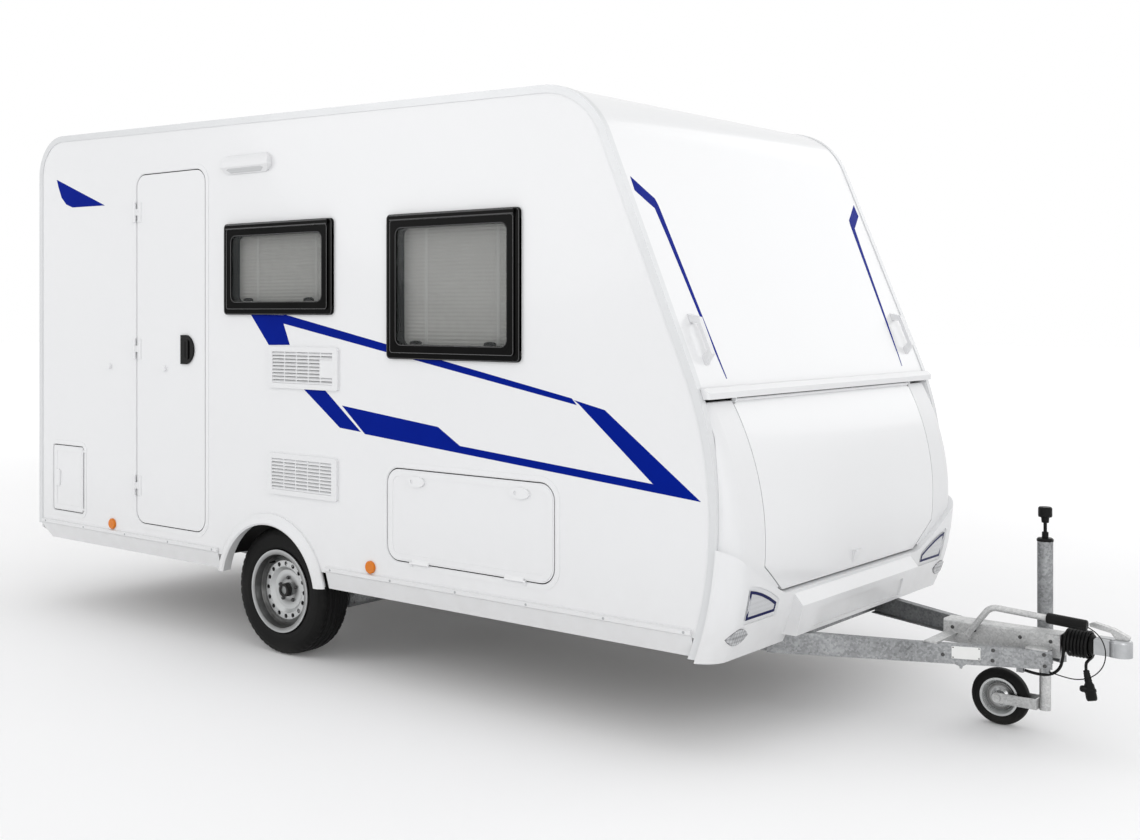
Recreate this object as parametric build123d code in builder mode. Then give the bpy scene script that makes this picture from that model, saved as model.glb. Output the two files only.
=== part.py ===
"""Single-axle travel caravan: panelled body, chassis, hitch, wheels, doors and lids.

Millimetres. +X is forward to the hitch, +Y is left, +Z is up. The origin is on the ground under the
middle of the overall box. A sketch on Plane.XZ.offset(d) lies at Y = -d and extrudes towards -Y.
"""
import os
from math import atan2, cos, hypot, radians, sin, sqrt, tan

from build123d import *

os.makedirs("parts", exist_ok=True)

# Overall sizes
OVERALL_LENGTH = 5420.0
HALF_WIDTH = 1025.0         # middle to the outer face of a side wall
SIDE_PROUD = 30.0           # arches and awning lamp stand this far off the walls
REAR_PROUD = 27.0           # rear lamps stand this far behind the rear wall
DRAWBAR_LENGTH = 1101.0     # front of the side walls to the front of the coupling
HITCH_X = OVERALL_LENGTH / 2
REAR_X = REAR_PROUD - OVERALL_LENGTH / 2
BODY_FRONT_X = HITCH_X - DRAWBAR_LENGTH

# Clearances
GAP = 5.0                   # round every door, hatch and lid
FIT = 0.3                   # between fixed pieces that are pushed together, and of a pin in its eye
RUN = 0.25                  # radial play of a turning bore on its pin

# Side outline of the body
WALL = 34.0                 # thickness of walls, roof, front, rear and doors
WALL_FOOT_Z = 440.0
ROOF_REAR_Z = 2581.0        # roof line at the rear wall, before the corner is rounded
ROOF_FALL_DEG = 1.235       # the roof falls towards the front
REAR_CORNER_R = 210.0
SHOULDER_R = 327.0
RAKE_DEG = 22.4             # upper front panel from the vertical
BELLY_R = 1450.0            # round lower front edge of the side walls
BELLY_X = BODY_FRONT_X - BELLY_R
BELLY_Z = 859.0
ROOF_JOINT_Z = 2330.0       # roof panel meets the front and rear panels here
RAIL_Z = 1301.0             # foot of the hinge rail and of the upper front panel


def belly_edge(z, grow=0.0):
    """X of the round lower front at a height, grown outwards."""
    return BELLY_X + sqrt((BELLY_R + grow) ** 2 - (z - BELLY_Z) ** 2)


def roof_z(x, grow=0.0):
    """Height of the roof line at X, grown outwards."""
    fall = radians(ROOF_FALL_DEG)
    return ROOF_REAR_Z + grow / cos(fall) - (x - REAR_X) * tan(fall)


def side_outline(grow=0.0, foot_z=WALL_FOOT_Z, mode=Mode.ADD):
    """Draws the side outline on the sketch at hand, grown outwards on every side but the foot."""
    rake = radians(RAKE_DEG)
    fall = tan(radians(ROOF_FALL_DEG))
    rear = REAR_X - grow
    belly = BELLY_R + grow
    touch_x = BELLY_X + belly * cos(rake)
    touch_z = BELLY_Z + belly * sin(rake)
    top = roof_z(REAR_X, grow)
    lean = (top + REAR_X * fall - touch_z) * tan(rake)
    shoulder_x = (touch_x - lean) / (1 - fall * tan(rake))
    half_turn = (rake + atan2(foot_z - BELLY_Z, belly_edge(foot_z, grow) - BELLY_X)) / 2
    with BuildLine() as edge_line:
        FilletPolyline(
            (rear, foot_z),
            (rear, roof_z(rear, grow)),
            (shoulder_x, roof_z(shoulder_x, grow)),
            (touch_x, touch_z),
            radius=[REAR_CORNER_R + grow, SHOULDER_R + grow],
        )
        ThreePointArc(
            (touch_x, touch_z),
            (BELLY_X + belly * cos(half_turn), BELLY_Z + belly * sin(half_turn)),
            (belly_edge(foot_z, grow), foot_z),
        )
        Line((belly_edge(foot_z, grow), foot_z), (rear, foot_z))
    make_face(edge_line.edges(), mode=mode)


# Openings in the side walls, all measured from the rear wall: centre X, centre Z, width, height,
# corner radius
DOOR = (REAR_X + 1165.5, 1425.5, 557.0, 1797.0, 70.0)
HATCH = (REAR_X + 3124.5, 746.0, 903.0, 402.0, 70.0)
CASSETTE = (REAR_X + 274.0, 706.5, 288.0, 363.0, 20.0)

# Windows: side (-1 right, 1 left), centre X, centre Z, width, height of the outer frame
WINDOW_TABLE = [
    (-1, REAR_X + 1972.5, 1821.0, 745.0, 436.0),
    (-1, REAR_X + 3046.5, 1725.5, 729.0, 621.0),
    (1, REAR_X + 3046.5, 1725.5, 729.0, 621.0),
    (1, REAR_X + 1183.0, 1821.0, 745.0, 436.0),
]
WINDOW_R = 45.0
WINDOW_FLANGE = 26.0        # outer flange of a frame, lapping on the wall
WINDOW_BORDER = 62.0        # black border from the frame's edge to the clear pane

# Refrigerator grilles in the right wall: centre X, centre Z, width, height
GRILLE_TABLE = [
    (REAR_X + 2145.0, 1359.5, 464.0, 193.0),
    (REAR_X + 2140.0, 864.0, 462.0, 192.0),
]
GRILLE_LAP = 16.0

# Wheels
WHEEL_X = REAR_X + 1920.0
WHEEL_R = 300.0
WHEEL_SET_IN = 146.0        # wall's outer face to the middle of a tyre
WHEEL_Y = HALF_WIDTH - WHEEL_SET_IN
TYRE_W = 185.0
ARCH_IN_R = 320.0
ARCH_OUT_R = 372.0
ARCH_FOOT_Z = 366.0
ARCH_CUT_R = 345.0
BOX_R = 366.0               # inner wheel box, outside
BOX_WALL = 6.0
BOX_DEPTH = 301.0           # wheel box, in from the wall's inner face
BOX_Y = HALF_WIDTH - WALL - BOX_DEPTH


def wall_openings(side):
    """Cuts the openings of one side wall from the sketch at hand."""
    for window_side, x, z, width, height in WINDOW_TABLE:
        if window_side == side:
            with Locations((x, z)):
                RectangleRounded(
                    width - 2 * WINDOW_FLANGE,
                    height - 2 * WINDOW_FLANGE,
                    WINDOW_R - WINDOW_FLANGE / 2,
                    mode=Mode.SUBTRACT,
                )
    with Locations((WHEEL_X, WHEEL_R)):
        Circle(ARCH_CUT_R, mode=Mode.SUBTRACT)
    if side < 0:
        for x, z, width, height, corner in (DOOR, HATCH, CASSETTE):
            with Locations((x, z)):
                RectangleRounded(width, height, corner, mode=Mode.SUBTRACT)
        for x, z, width, height in GRILLE_TABLE:
            with Locations((x, z)):
                Rectangle(width - 2 * GRILLE_LAP, height - 2 * GRILLE_LAP, mode=Mode.SUBTRACT)


# Door hinge: the axis stands off the wall, behind the door's rear edge
DOOR_HINGE_Y = -HALF_WIDTH - 14.0
DOOR_HINGE_X = DOOR[0] - DOOR[2] / 2
HINGE_R = 7.0
HINGE_ZS = [720.0, 1425.0, 2130.0]
KNUCKLE = 34.0              # height of one knuckle
KNUCKLE_PLAY = 0.3
LEAF_T = 4.0

# Hinges of the side hatch along its foot and of the cassette hatch at its front edge
BARREL_R = 5.0
BARREL_PIN_R = 3.0
BARREL_OUT = 7.0            # barrel axis off the wall
EYE = 12.0                  # length of an eye on the wall
HATCH_BARREL_HALF = 300.0
HATCH_AXIS_Y = -HALF_WIDTH - BARREL_OUT
HATCH_AXIS_Z = HATCH[1] - HATCH[3] / 2 + 2.0
CASSETTE_BARREL_HALF = 150.0
CASSETTE_AXIS_X = CASSETTE[0] + CASSETTE[2] / 2 - 2.0
CASSETTE_AXIS_Y = -HALF_WIDTH - BARREL_OUT
HATCH_HINGE = 95.0          # length of one of the side hatch's two barrels

# Low frames round the doorway and the hatches, on the wall and on each hatch, clear of the hinges
FRAME_T = 2.0
WALL_FRAME_IN = 4.0         # from the opening's edge to the frame on the wall
WALL_FRAME_W = 20.0
LEAF_FRAME_IN = 6.0         # from a hatch's own edge to the frame on it
LEAF_FRAME_W = 24.0


def wall_frame(x, z, width, height, corner):
    """Draws the ring of a frame on the wall round an opening."""
    near = WALL_FRAME_IN
    far = WALL_FRAME_IN + WALL_FRAME_W
    with Locations((x, z)):
        RectangleRounded(width + 2 * far, height + 2 * far, corner + far)
        RectangleRounded(width + 2 * near, height + 2 * near, corner + near, mode=Mode.SUBTRACT)


def leaf_frame(x, z, width, height, corner):
    """Draws the ring of a frame on a hatch in its opening."""
    near = GAP + LEAF_FRAME_IN
    far = near + LEAF_FRAME_W
    with Locations((x, z)):
        RectangleRounded(width - 2 * near, height - 2 * near, max(corner - near, 6.0))
        RectangleRounded(width - 2 * far, height - 2 * far, max(corner - far, 3.0), mode=Mode.SUBTRACT)


# Door catch: one half on the wall and one on the door, that meet when the door is folded back
CATCH_REACH = 235.0         # from the door's hinge axis
CATCH_Z = DOOR[1] - 95.0
CATCH_OUT = 14.0

# Right wall: one sandwich panel with its door, hatches, windows and grilles cut out
with BuildPart() as wall_right:
    with BuildSketch(Plane.XZ.offset(HALF_WIDTH)):
        side_outline()
        wall_openings(-1)
    extrude(amount=-WALL)
    # hinge leaves and their outer knuckles, lapped on the wall behind the doorway
    for hinge_z in HINGE_ZS:
        with BuildSketch(Plane.XZ.offset(HALF_WIDTH)):
            with Locations((DOOR_HINGE_X - 24.0, hinge_z)):
                Rectangle(36.0, 3 * KNUCKLE)
        extrude(amount=LEAF_T)
        for step in (-1, 1):
            with BuildSketch(Plane.XY.offset(hinge_z + step * (KNUCKLE + KNUCKLE_PLAY) - KNUCKLE / 2)):
                with Locations((DOOR_HINGE_X, DOOR_HINGE_Y)):
                    Circle(HINGE_R)
                with BuildLine():
                    Polyline(
                        (DOOR_HINGE_X - 12.0, -HALF_WIDTH - LEAF_T),
                        (DOOR_HINGE_X - 6.0, -HALF_WIDTH - LEAF_T),
                        (DOOR_HINGE_X, DOOR_HINGE_Y + 4.0),
                        (DOOR_HINGE_X - 5.0, DOOR_HINGE_Y - 2.0),
                        close=True,
                    )
                make_face()
            extrude(amount=KNUCKLE)
    # eyes for the side hatch, under its foot
    for side in (-1, 1):
        with BuildSketch(Plane.YZ.offset(HATCH[0] + side * (HATCH_BARREL_HALF + FIT))):
            with BuildLine():
                Polyline(
                    (-HALF_WIDTH + 0.5, HATCH_AXIS_Z - 8.0),
                    (-HALF_WIDTH + 0.5, HATCH_AXIS_Z - 24.0),
                    (HATCH_AXIS_Y - 4.0, HATCH_AXIS_Z - 3.0),
                    (HATCH_AXIS_Y + 4.0, HATCH_AXIS_Z + 3.0),
                    close=True,
                )
            make_face()
            with Locations((HATCH_AXIS_Y, HATCH_AXIS_Z)):
                Circle(BARREL_R)
                Circle(BARREL_PIN_R + FIT, mode=Mode.SUBTRACT)
        extrude(amount=side * EYE)
    # eyes for the cassette hatch, ahead of its front edge
    for side in (-1, 1):
        with BuildSketch(Plane.XY.offset(CASSETTE[1] + side * (CASSETTE_BARREL_HALF + FIT))):
            with BuildLine():
                Polyline(
                    (CASSETTE_AXIS_X + 8.0, -HALF_WIDTH + 0.5),
                    (CASSETTE_AXIS_X + 24.0, -HALF_WIDTH + 0.5),
                    (CASSETTE_AXIS_X + 3.0, CASSETTE_AXIS_Y - 4.0),
                    (CASSETTE_AXIS_X - 3.0, CASSETTE_AXIS_Y + 4.0),
                    close=True,
                )
            make_face()
            with Locations((CASSETTE_AXIS_X, CASSETTE_AXIS_Y)):
                Circle(BARREL_R)
                Circle(BARREL_PIN_R + FIT, mode=Mode.SUBTRACT)
        extrude(amount=side * EYE)
    with BuildSketch(Plane.XZ.offset(HALF_WIDTH)):
        wall_frame(*DOOR)
        wall_frame(*HATCH)
        wall_frame(*CASSETTE)
    extrude(amount=FRAME_T)
    with BuildSketch(Plane.XZ.offset(HALF_WIDTH)):
        with Locations((DOOR_HINGE_X - CATCH_REACH, CATCH_Z)):
            RectangleRounded(36.0, 24.0, 8.0)
    extrude(amount=CATCH_OUT)
wall_right.part.label = "wall_right"
export_step(wall_right.part, "parts/wall_right.step")

# Left wall
INLET_X = REAR_X + 1440.0
INLET_Z = 760.0
INLET_W = 124.0
INLET_H = 150.0
FILLER_X = REAR_X + 3310.0
FILLER_Z = 790.0
FILLER_R = 66.0
with BuildPart() as wall_left:
    with BuildSketch(Plane.XZ.offset(-HALF_WIDTH)):
        side_outline()
        wall_openings(1)
    extrude(amount=WALL)
    # covers of the mains inlet, with its flap, and of the water filler
    for width, height, reach in ((INLET_W, INLET_H, 8.0), (INLET_W - 24.0, INLET_H - 24.0, 18.0)):
        with BuildSketch(Plane.XZ.offset(-HALF_WIDTH)):
            with Locations((INLET_X, INLET_Z)):
                RectangleRounded(width, height, 14.0)
        extrude(amount=-reach)
    for radius, reach in ((FILLER_R, 8.0), (FILLER_R - 18.0, 20.0)):
        with BuildSketch(Plane.XZ.offset(-HALF_WIDTH)):
            with Locations((FILLER_X, FILLER_Z)):
                Circle(radius)
        extrude(amount=-reach)
wall_left.part.label = "wall_left"
export_step(wall_left.part, "parts/wall_left.step")

# Roof, rear and upper front panels lie between the side walls
INNER_HALF = HALF_WIDTH - WALL


def panel_ring():
    """Extrudes the band of roof, front and rear across the inner width."""
    with BuildSketch(Plane.XZ.offset(INNER_HALF)) as band:
        side_outline()
        side_outline(-WALL, WALL_FOOT_Z - GAP, Mode.SUBTRACT)
    extrude(band.sketch, amount=-2 * INNER_HALF)


ROOFLIGHT_X = REAR_X + 1783.0
ROOFLIGHT_CUT = 400.0
ROOFLIGHT_FRAME = 560.0
roof_plane = Plane(
    origin=(ROOFLIGHT_X, 0, roof_z(ROOFLIGHT_X)),
    x_dir=(cos(radians(ROOF_FALL_DEG)), 0, -sin(radians(ROOF_FALL_DEG))),
    z_dir=(sin(radians(ROOF_FALL_DEG)), 0, cos(radians(ROOF_FALL_DEG))),
)

with BuildPart() as roof_panel:
    panel_ring()
    split(bisect_by=Plane.XY.offset(ROOF_JOINT_Z), keep=Keep.TOP)
    with BuildSketch(roof_plane):
        RectangleRounded(ROOFLIGHT_CUT, ROOFLIGHT_CUT, 40.0)
    extrude(amount=-2 * WALL, mode=Mode.SUBTRACT)
roof_panel.part.label = "roof_panel"
export_step(roof_panel.part, "parts/roof_panel.step")

with BuildPart() as rear_panel:
    panel_ring()
    split(bisect_by=Plane.XY.offset(ROOF_JOINT_Z), keep=Keep.BOTTOM)
    split(bisect_by=Plane.YZ, keep=Keep.BOTTOM)
rear_panel.part.label = "rear_panel"
export_step(rear_panel.part, "parts/rear_panel.step")

with BuildPart() as front_panel:
    panel_ring()
    split(bisect_by=Plane.XY.offset(ROOF_JOINT_Z), keep=Keep.BOTTOM)
    split(bisect_by=Plane.YZ, keep=Keep.TOP)
    split(bisect_by=Plane.XY.offset(RAIL_Z), keep=Keep.TOP)
front_panel.part.label = "front_panel"
export_step(front_panel.part, "parts/front_panel.step")

# Floor: one sandwich panel, notched for the wheel boxes, out to the back of the bumper
FLOOR = 40.0
FLOOR_FRONT_X = BODY_FRONT_X - 79.0
BULKHEAD_X = BODY_FRONT_X - 429.0
BULKHEAD = 25.0
GROOVE = 4.0                # the bulkhead stands in a groove this deep
with BuildPart() as floor_panel:
    with BuildSketch(Plane.XY.offset(WALL_FOOT_Z)):
        with BuildLine():
            Polyline(
                (REAR_X + WALL, -INNER_HALF),
                (FLOOR_FRONT_X, -INNER_HALF),
                (FLOOR_FRONT_X, INNER_HALF),
                (REAR_X + WALL, INNER_HALF),
                close=True,
            )
        make_face()
        with Locations((WHEEL_X, -INNER_HALF), (WHEEL_X, INNER_HALF)):
            Rectangle(2 * (BOX_R + FIT), 2 * (INNER_HALF - BOX_Y + FIT), mode=Mode.SUBTRACT)
    extrude(amount=FLOOR)
    with BuildSketch(Plane.XY.offset(WALL_FOOT_Z + FLOOR - GROOVE)):
        with Locations((BULKHEAD_X - BULKHEAD / 2, 0)):
            Rectangle(BULKHEAD + 2 * FIT, 2 * INNER_HALF)
    extrude(amount=GROOVE, mode=Mode.SUBTRACT)
floor_panel.part.label = "floor_panel"
export_step(floor_panel.part, "parts/floor_panel.step")

# Bulkhead and shelf close the gas locker off from the cabin
SHELF_Z = 1306.0
SHELF_FRONT_X = belly_edge(SHELF_Z + BULKHEAD, -WALL)
with BuildPart() as bulkhead:
    with BuildSketch(Plane.XZ.offset(INNER_HALF)):
        with BuildLine():
            Polyline(
                (BULKHEAD_X - BULKHEAD, WALL_FOOT_Z + FLOOR - GROOVE),
                (BULKHEAD_X, WALL_FOOT_Z + FLOOR - GROOVE),
                (BULKHEAD_X, SHELF_Z),
                (SHELF_FRONT_X, SHELF_Z),
                (SHELF_FRONT_X, SHELF_Z + BULKHEAD),
                (BULKHEAD_X - BULKHEAD, SHELF_Z + BULKHEAD),
                close=True,
            )
        make_face()
    extrude(amount=-2 * INNER_HALF)
bulkhead.part.label = "bulkhead"
export_step(bulkhead.part, "parts/bulkhead.step")

# Edge trims: an angle profile over the joint of each side wall with roof, front and rear
TRIM_T = 4.0
TRIM_LIP = 28.0
TRIM_FOOT_Z = 362.0
with BuildPart() as edge_trims:
    with BuildSketch(Plane.XZ.offset(HALF_WIDTH)):
        side_outline(TRIM_T, TRIM_FOOT_Z)
        side_outline(-TRIM_LIP, TRIM_FOOT_Z - GAP, Mode.SUBTRACT)
    extrude(amount=TRIM_T)
    with BuildSketch(Plane.XZ.offset(HALF_WIDTH)):
        side_outline(TRIM_T, TRIM_FOOT_Z)
        side_outline(0.0, TRIM_FOOT_Z - GAP, Mode.SUBTRACT)
    extrude(amount=-TRIM_LIP)
    with BuildSketch(Plane.XZ.offset(HALF_WIDTH + SIDE_PROUD)):
        with Locations((REAR_X, WALL_FOOT_Z - 100.0)):
            Rectangle(400.0, 200.0)
    extrude(amount=-3 * SIDE_PROUD, mode=Mode.SUBTRACT)
    mirror(about=Plane.XZ)
edge_trims.part.label = "edge_trims"
export_step(edge_trims.part, "parts/edge_trims.step")

# Lower front: the gas-locker lid between two corner panels, over the bumper
BUMPER_OUT = 22.0           # bumper stands this far ahead of the lid
NOSE_Z = 787.0              # centre of the lid's round
NOSE_R = 1054.0
NOSE_T = 28.0
NOSE_INSET = 3.0            # the lower front is this much narrower than the walls, each side
NOSE_HALF = HALF_WIDTH - NOSE_INSET
NOSE_CORNER_R = 80.0
NOSE_TOP_Z = 1287.0
LID_STEP = 2.5              # the lid's top edge lies this far behind the walls' round edge
NOSE_X = belly_edge(NOSE_TOP_Z) - LID_STEP - sqrt(NOSE_R**2 - (NOSE_TOP_Z - NOSE_Z) ** 2)
NOSE_FRONT_X = NOSE_X + NOSE_R
NOSE_BACK_X = BODY_FRONT_X - 509.0
NOSE_OUT_Y = NOSE_HALF + 18.0           # the sides of the lower front are cut off flat here
BUMPER_T = 40.0
BUMPER_FOOT_Z = 352.0


def nose_block(grow, top_z, foot_z):
    """Solid block with the lid's round front, grown outwards, its two front corners rounded."""
    radius = NOSE_R + grow
    with BuildPart() as block:
        with BuildSketch(Plane.XZ.offset(NOSE_HALF + grow)):
            with BuildLine():
                top_x = NOSE_X + sqrt(radius**2 - (top_z - NOSE_Z) ** 2)
                foot_x = NOSE_X + sqrt(radius**2 - (foot_z - NOSE_Z) ** 2)
                Polyline((top_x, top_z), (NOSE_BACK_X, top_z), (NOSE_BACK_X, foot_z), (foot_x, foot_z))
                ThreePointArc((foot_x, foot_z), (NOSE_X + radius, NOSE_Z), (top_x, top_z))
            make_face()
        extrude(amount=-2 * (NOSE_HALF + grow))
        rims = block.edges().filter_by(GeomType.CIRCLE)
        fillet(rims, NOSE_CORNER_R + grow)
    return block.part


def wall_zone():
    """Cuts away what would run into the side walls and their trims."""
    for side in (-1, 1):
        with BuildSketch(Plane.XZ.offset(-side * (HALF_WIDTH + SIDE_PROUD))) as zone:
            side_outline(TRIM_T + FIT, BUMPER_FOOT_Z - GAP)
        extrude(zone.sketch, amount=side * (WALL + SIDE_PROUD + 2.0), mode=Mode.SUBTRACT)


nose_outer = nose_block(0.0, NOSE_TOP_Z, BUMPER_FOOT_Z)
nose_inner = nose_block(-NOSE_T, NOSE_TOP_Z + GAP, BUMPER_FOOT_Z - GAP)
bumper_outer = nose_block(BUMPER_OUT, NOSE_TOP_Z, BUMPER_FOOT_Z)
bumper_inner = nose_block(BUMPER_OUT - BUMPER_T, NOSE_TOP_Z + GAP, BUMPER_FOOT_Z - GAP)
bumper_seat = nose_block(BUMPER_OUT - 10.0, NOSE_TOP_Z + GAP, BUMPER_FOOT_Z - GAP)
recess_floor = nose_block(BUMPER_OUT - 8.0, NOSE_TOP_Z + GAP, BUMPER_FOOT_Z - GAP)
lens_face = nose_block(BUMPER_OUT - 2.0, NOSE_TOP_Z, BUMPER_FOOT_Z)
lamp_face = nose_block(BUMPER_OUT + 5.0, NOSE_TOP_Z, BUMPER_FOOT_Z)

# Outlines seen from the front, right half turned by the sign of Y: lid, corner panel, bumper
CORNER_TOP_W = 227.0        # width of a corner panel at the lid's top, side and foot
CORNER_SIDE_W = 252.0
CORNER_FOOT_W = 417.0
LID_TOP_Y = NOSE_HALF - CORNER_TOP_W
LID_SIDE_Y = NOSE_HALF - CORNER_SIDE_W
LID_FOOT_Y = NOSE_HALF - CORNER_FOOT_W
LID_SIDE_Z = 683.0
LID_FOOT_Z = 571.0
LID_FOOT_GAP = 9.0          # between the lid's foot and the bumper
BUMPER_TOP_Z = LID_FOOT_Z - LID_FOOT_GAP
front_plane = Plane.YZ.offset(NOSE_BACK_X)
FRONT_DEPTH = 800.0

# Lid hinge: a bead along the lid's top edge, under the rail
LID_AXIS_X = NOSE_X + sqrt(NOSE_R**2 - (NOSE_TOP_Z - NOSE_Z) ** 2) + 4.0
LID_AXIS_Z = NOSE_TOP_Z + 3.0
LID_BEAD_R = 6.0
LID_PIN_R = 4.0
EAR_R = 9.0
EAR_IN_Y = LID_TOP_Y - 10.0     # inner face of an ear on the rail
EAR_OUT_Y = LID_TOP_Y - 2.0
NOTCH_Y = EAR_IN_Y - 4.0        # the lid's top corners are notched for the ears
NOTCH_Z = LID_AXIS_Z - EAR_R - GAP
LATCH_Z = 624.0
LATCH_X = NOSE_X + sqrt(NOSE_R**2 - (LATCH_Z - NOSE_Z) ** 2)
with BuildPart() as locker_lid:
    add(nose_outer)
    add(nose_inner, mode=Mode.SUBTRACT)
    with BuildSketch(front_plane):
        with BuildLine():
            Polyline(
                (-LID_TOP_Y, NOSE_TOP_Z + GAP),
                (-LID_SIDE_Y, LID_SIDE_Z),
                (-LID_FOOT_Y, LID_FOOT_Z),
                (LID_FOOT_Y, LID_FOOT_Z),
                (LID_SIDE_Y, LID_SIDE_Z),
                (LID_TOP_Y, NOSE_TOP_Z + GAP),
                close=True,
            )
        make_face()
    extrude(amount=FRONT_DEPTH, mode=Mode.INTERSECT)
    with BuildSketch(front_plane):
        for side in (-1, 1):
            with Locations((side * (NOTCH_Y + 50.0), NOTCH_Z + 50.0)):
                Rectangle(100.0, 100.0)
    extrude(amount=FRONT_DEPTH, mode=Mode.SUBTRACT)
    for radius, half in ((LID_BEAD_R, NOTCH_Y), (LID_PIN_R, EAR_OUT_Y)):
        with BuildSketch(Plane.XZ.offset(half)):
            with Locations((LID_AXIS_X, LID_AXIS_Z)):
                Circle(radius)
        extrude(amount=-2 * half)
    # the latch: a wedge pull at the middle of the lower edge, thick at its top
    for rise, reach, depth, width in ((24.0, 21.0, 36.0, 56.0), (-24.0, 3.0, 22.0, 34.0)):
        with BuildSketch(Plane.XY.offset(LATCH_Z + rise)):
            with Locations((LATCH_X + reach - depth / 2, 0.0)):
                RectangleRounded(depth, width, 4.0)
    loft()
locker_lid.part.label = "locker_lid"
export_step(locker_lid.part, "parts/locker_lid.step")

POD_JOINT = 0.4             # corner panels stand this far over the bumper's pods
POD = [(367.0 - NOSE_HALF, 577.0), (149.0 - NOSE_HALF, 675.0), (-NOSE_OUT_Y, 770.0)]
with BuildPart() as front_corners:
    add(nose_outer)
    add(nose_inner, mode=Mode.SUBTRACT)
    with BuildSketch(front_plane):
        with BuildLine():
            Polyline(
                (-NOSE_OUT_Y, POD[2][1] + POD_JOINT),
                (-NOSE_OUT_Y, NOSE_TOP_Z + GAP),
                (-LID_TOP_Y - GAP, NOSE_TOP_Z + GAP),
                (-LID_SIDE_Y - GAP, LID_SIDE_Z - 3.0),
                (POD[0][0] + 15.0, POD[0][1] + 11.0),
                (POD[0][0], POD[0][1] + POD_JOINT),
            )
            ThreePointArc(
                (POD[0][0], POD[0][1] + POD_JOINT),
                (POD[1][0], POD[1][1] + POD_JOINT),
                (-NOSE_OUT_Y, POD[2][1] + POD_JOINT),
            )
        make_face()
        mirror(about=Plane.YZ)
    extrude(amount=FRONT_DEPTH, mode=Mode.INTERSECT)
    wall_zone()
front_corners.part.label = "front_corners"
export_step(front_corners.part, "parts/front_corners.step")

# Reflector and lamp outlines on the bumper pods, seen from the front
REFLECTOR = [
    (126.0 - NOSE_HALF, 612.0),
    (222.0 - NOSE_HALF, 588.0),
    (346.0 - NOSE_HALF, 536.0),
    (346.0 - NOSE_HALF, 500.0),
    (130.0 - NOSE_HALF, 500.0),
]
LAMP_Y = NOSE_HALF - 99.0
LAMP_Z = 443.0
LAMP_HALF = 66.0
LAMP_RISE = 30.0


def reflector_outline(grow):
    """Draws the right reflector's outline, grown all round."""
    with BuildLine() as edge_line:
        Line(REFLECTOR[2], REFLECTOR[3])
        Line(REFLECTOR[3], REFLECTOR[4])
        Line(REFLECTOR[4], REFLECTOR[0])
        ThreePointArc(REFLECTOR[0], REFLECTOR[1], REFLECTOR[2])
    make_face(edge_line.edges())
    if grow:
        offset(amount=grow)


def lamp_outline(grow):
    """Draws the right lamp's leaf outline, grown all round."""
    with BuildLine() as edge_line:
        ThreePointArc(
            (-LAMP_Y - LAMP_HALF - grow, LAMP_Z),
            (-LAMP_Y, LAMP_Z + LAMP_RISE + grow),
            (-LAMP_Y + LAMP_HALF + grow, LAMP_Z),
        )
        ThreePointArc(
            (-LAMP_Y + LAMP_HALF + grow, LAMP_Z),
            (-LAMP_Y, LAMP_Z - LAMP_RISE - grow),
            (-LAMP_Y - LAMP_HALF - grow, LAMP_Z),
        )
    make_face(edge_line.edges())


with BuildPart() as lens_pockets:
    with BuildSketch(front_plane):
        reflector_outline(1.5)
        lamp_outline(1.5)
        mirror(about=Plane.YZ)
    extrude(amount=FRONT_DEPTH)
    add(bumper_seat, mode=Mode.SUBTRACT)

RECESS_MARGIN = 18.0        # shallow recess round a reflector
with BuildPart() as lens_recess:
    with BuildSketch(front_plane):
        reflector_outline(RECESS_MARGIN)
        mirror(about=Plane.YZ)
    extrude(amount=FRONT_DEPTH)
    add(recess_floor, mode=Mode.SUBTRACT)

# Middle of the bumper: a sill with a sloping top lip and a shallow panel, ahead of the pods
SILL_HALF = NOSE_HALF - 482.0
SILL_FOOT_Z = 386.0
SILL_OUT = 30.0             # lip of the sill ahead of the lid's round
SILL = [
    (NOSE_FRONT_X - 58.0, SILL_FOOT_Z),
    (NOSE_FRONT_X, SILL_FOOT_Z),
    (NOSE_FRONT_X + SILL_OUT, SILL_FOOT_Z + 119.0),
    (NOSE_FRONT_X - 16.0, BUMPER_TOP_Z),
    (NOSE_FRONT_X - 58.0, BUMPER_TOP_Z),
]
SILL_PANEL = [
    (NOSE_FRONT_X - 6.0, SILL_FOOT_Z + 14.0),
    (NOSE_FRONT_X + 2 * SILL_OUT, SILL_FOOT_Z + 14.0),
    (NOSE_FRONT_X + 2 * SILL_OUT, SILL_FOOT_Z + 88.0),
    (NOSE_FRONT_X + 13.0, SILL_FOOT_Z + 88.0),
]
SILL_PANEL_HALF = SILL_HALF - 140.0
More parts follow.
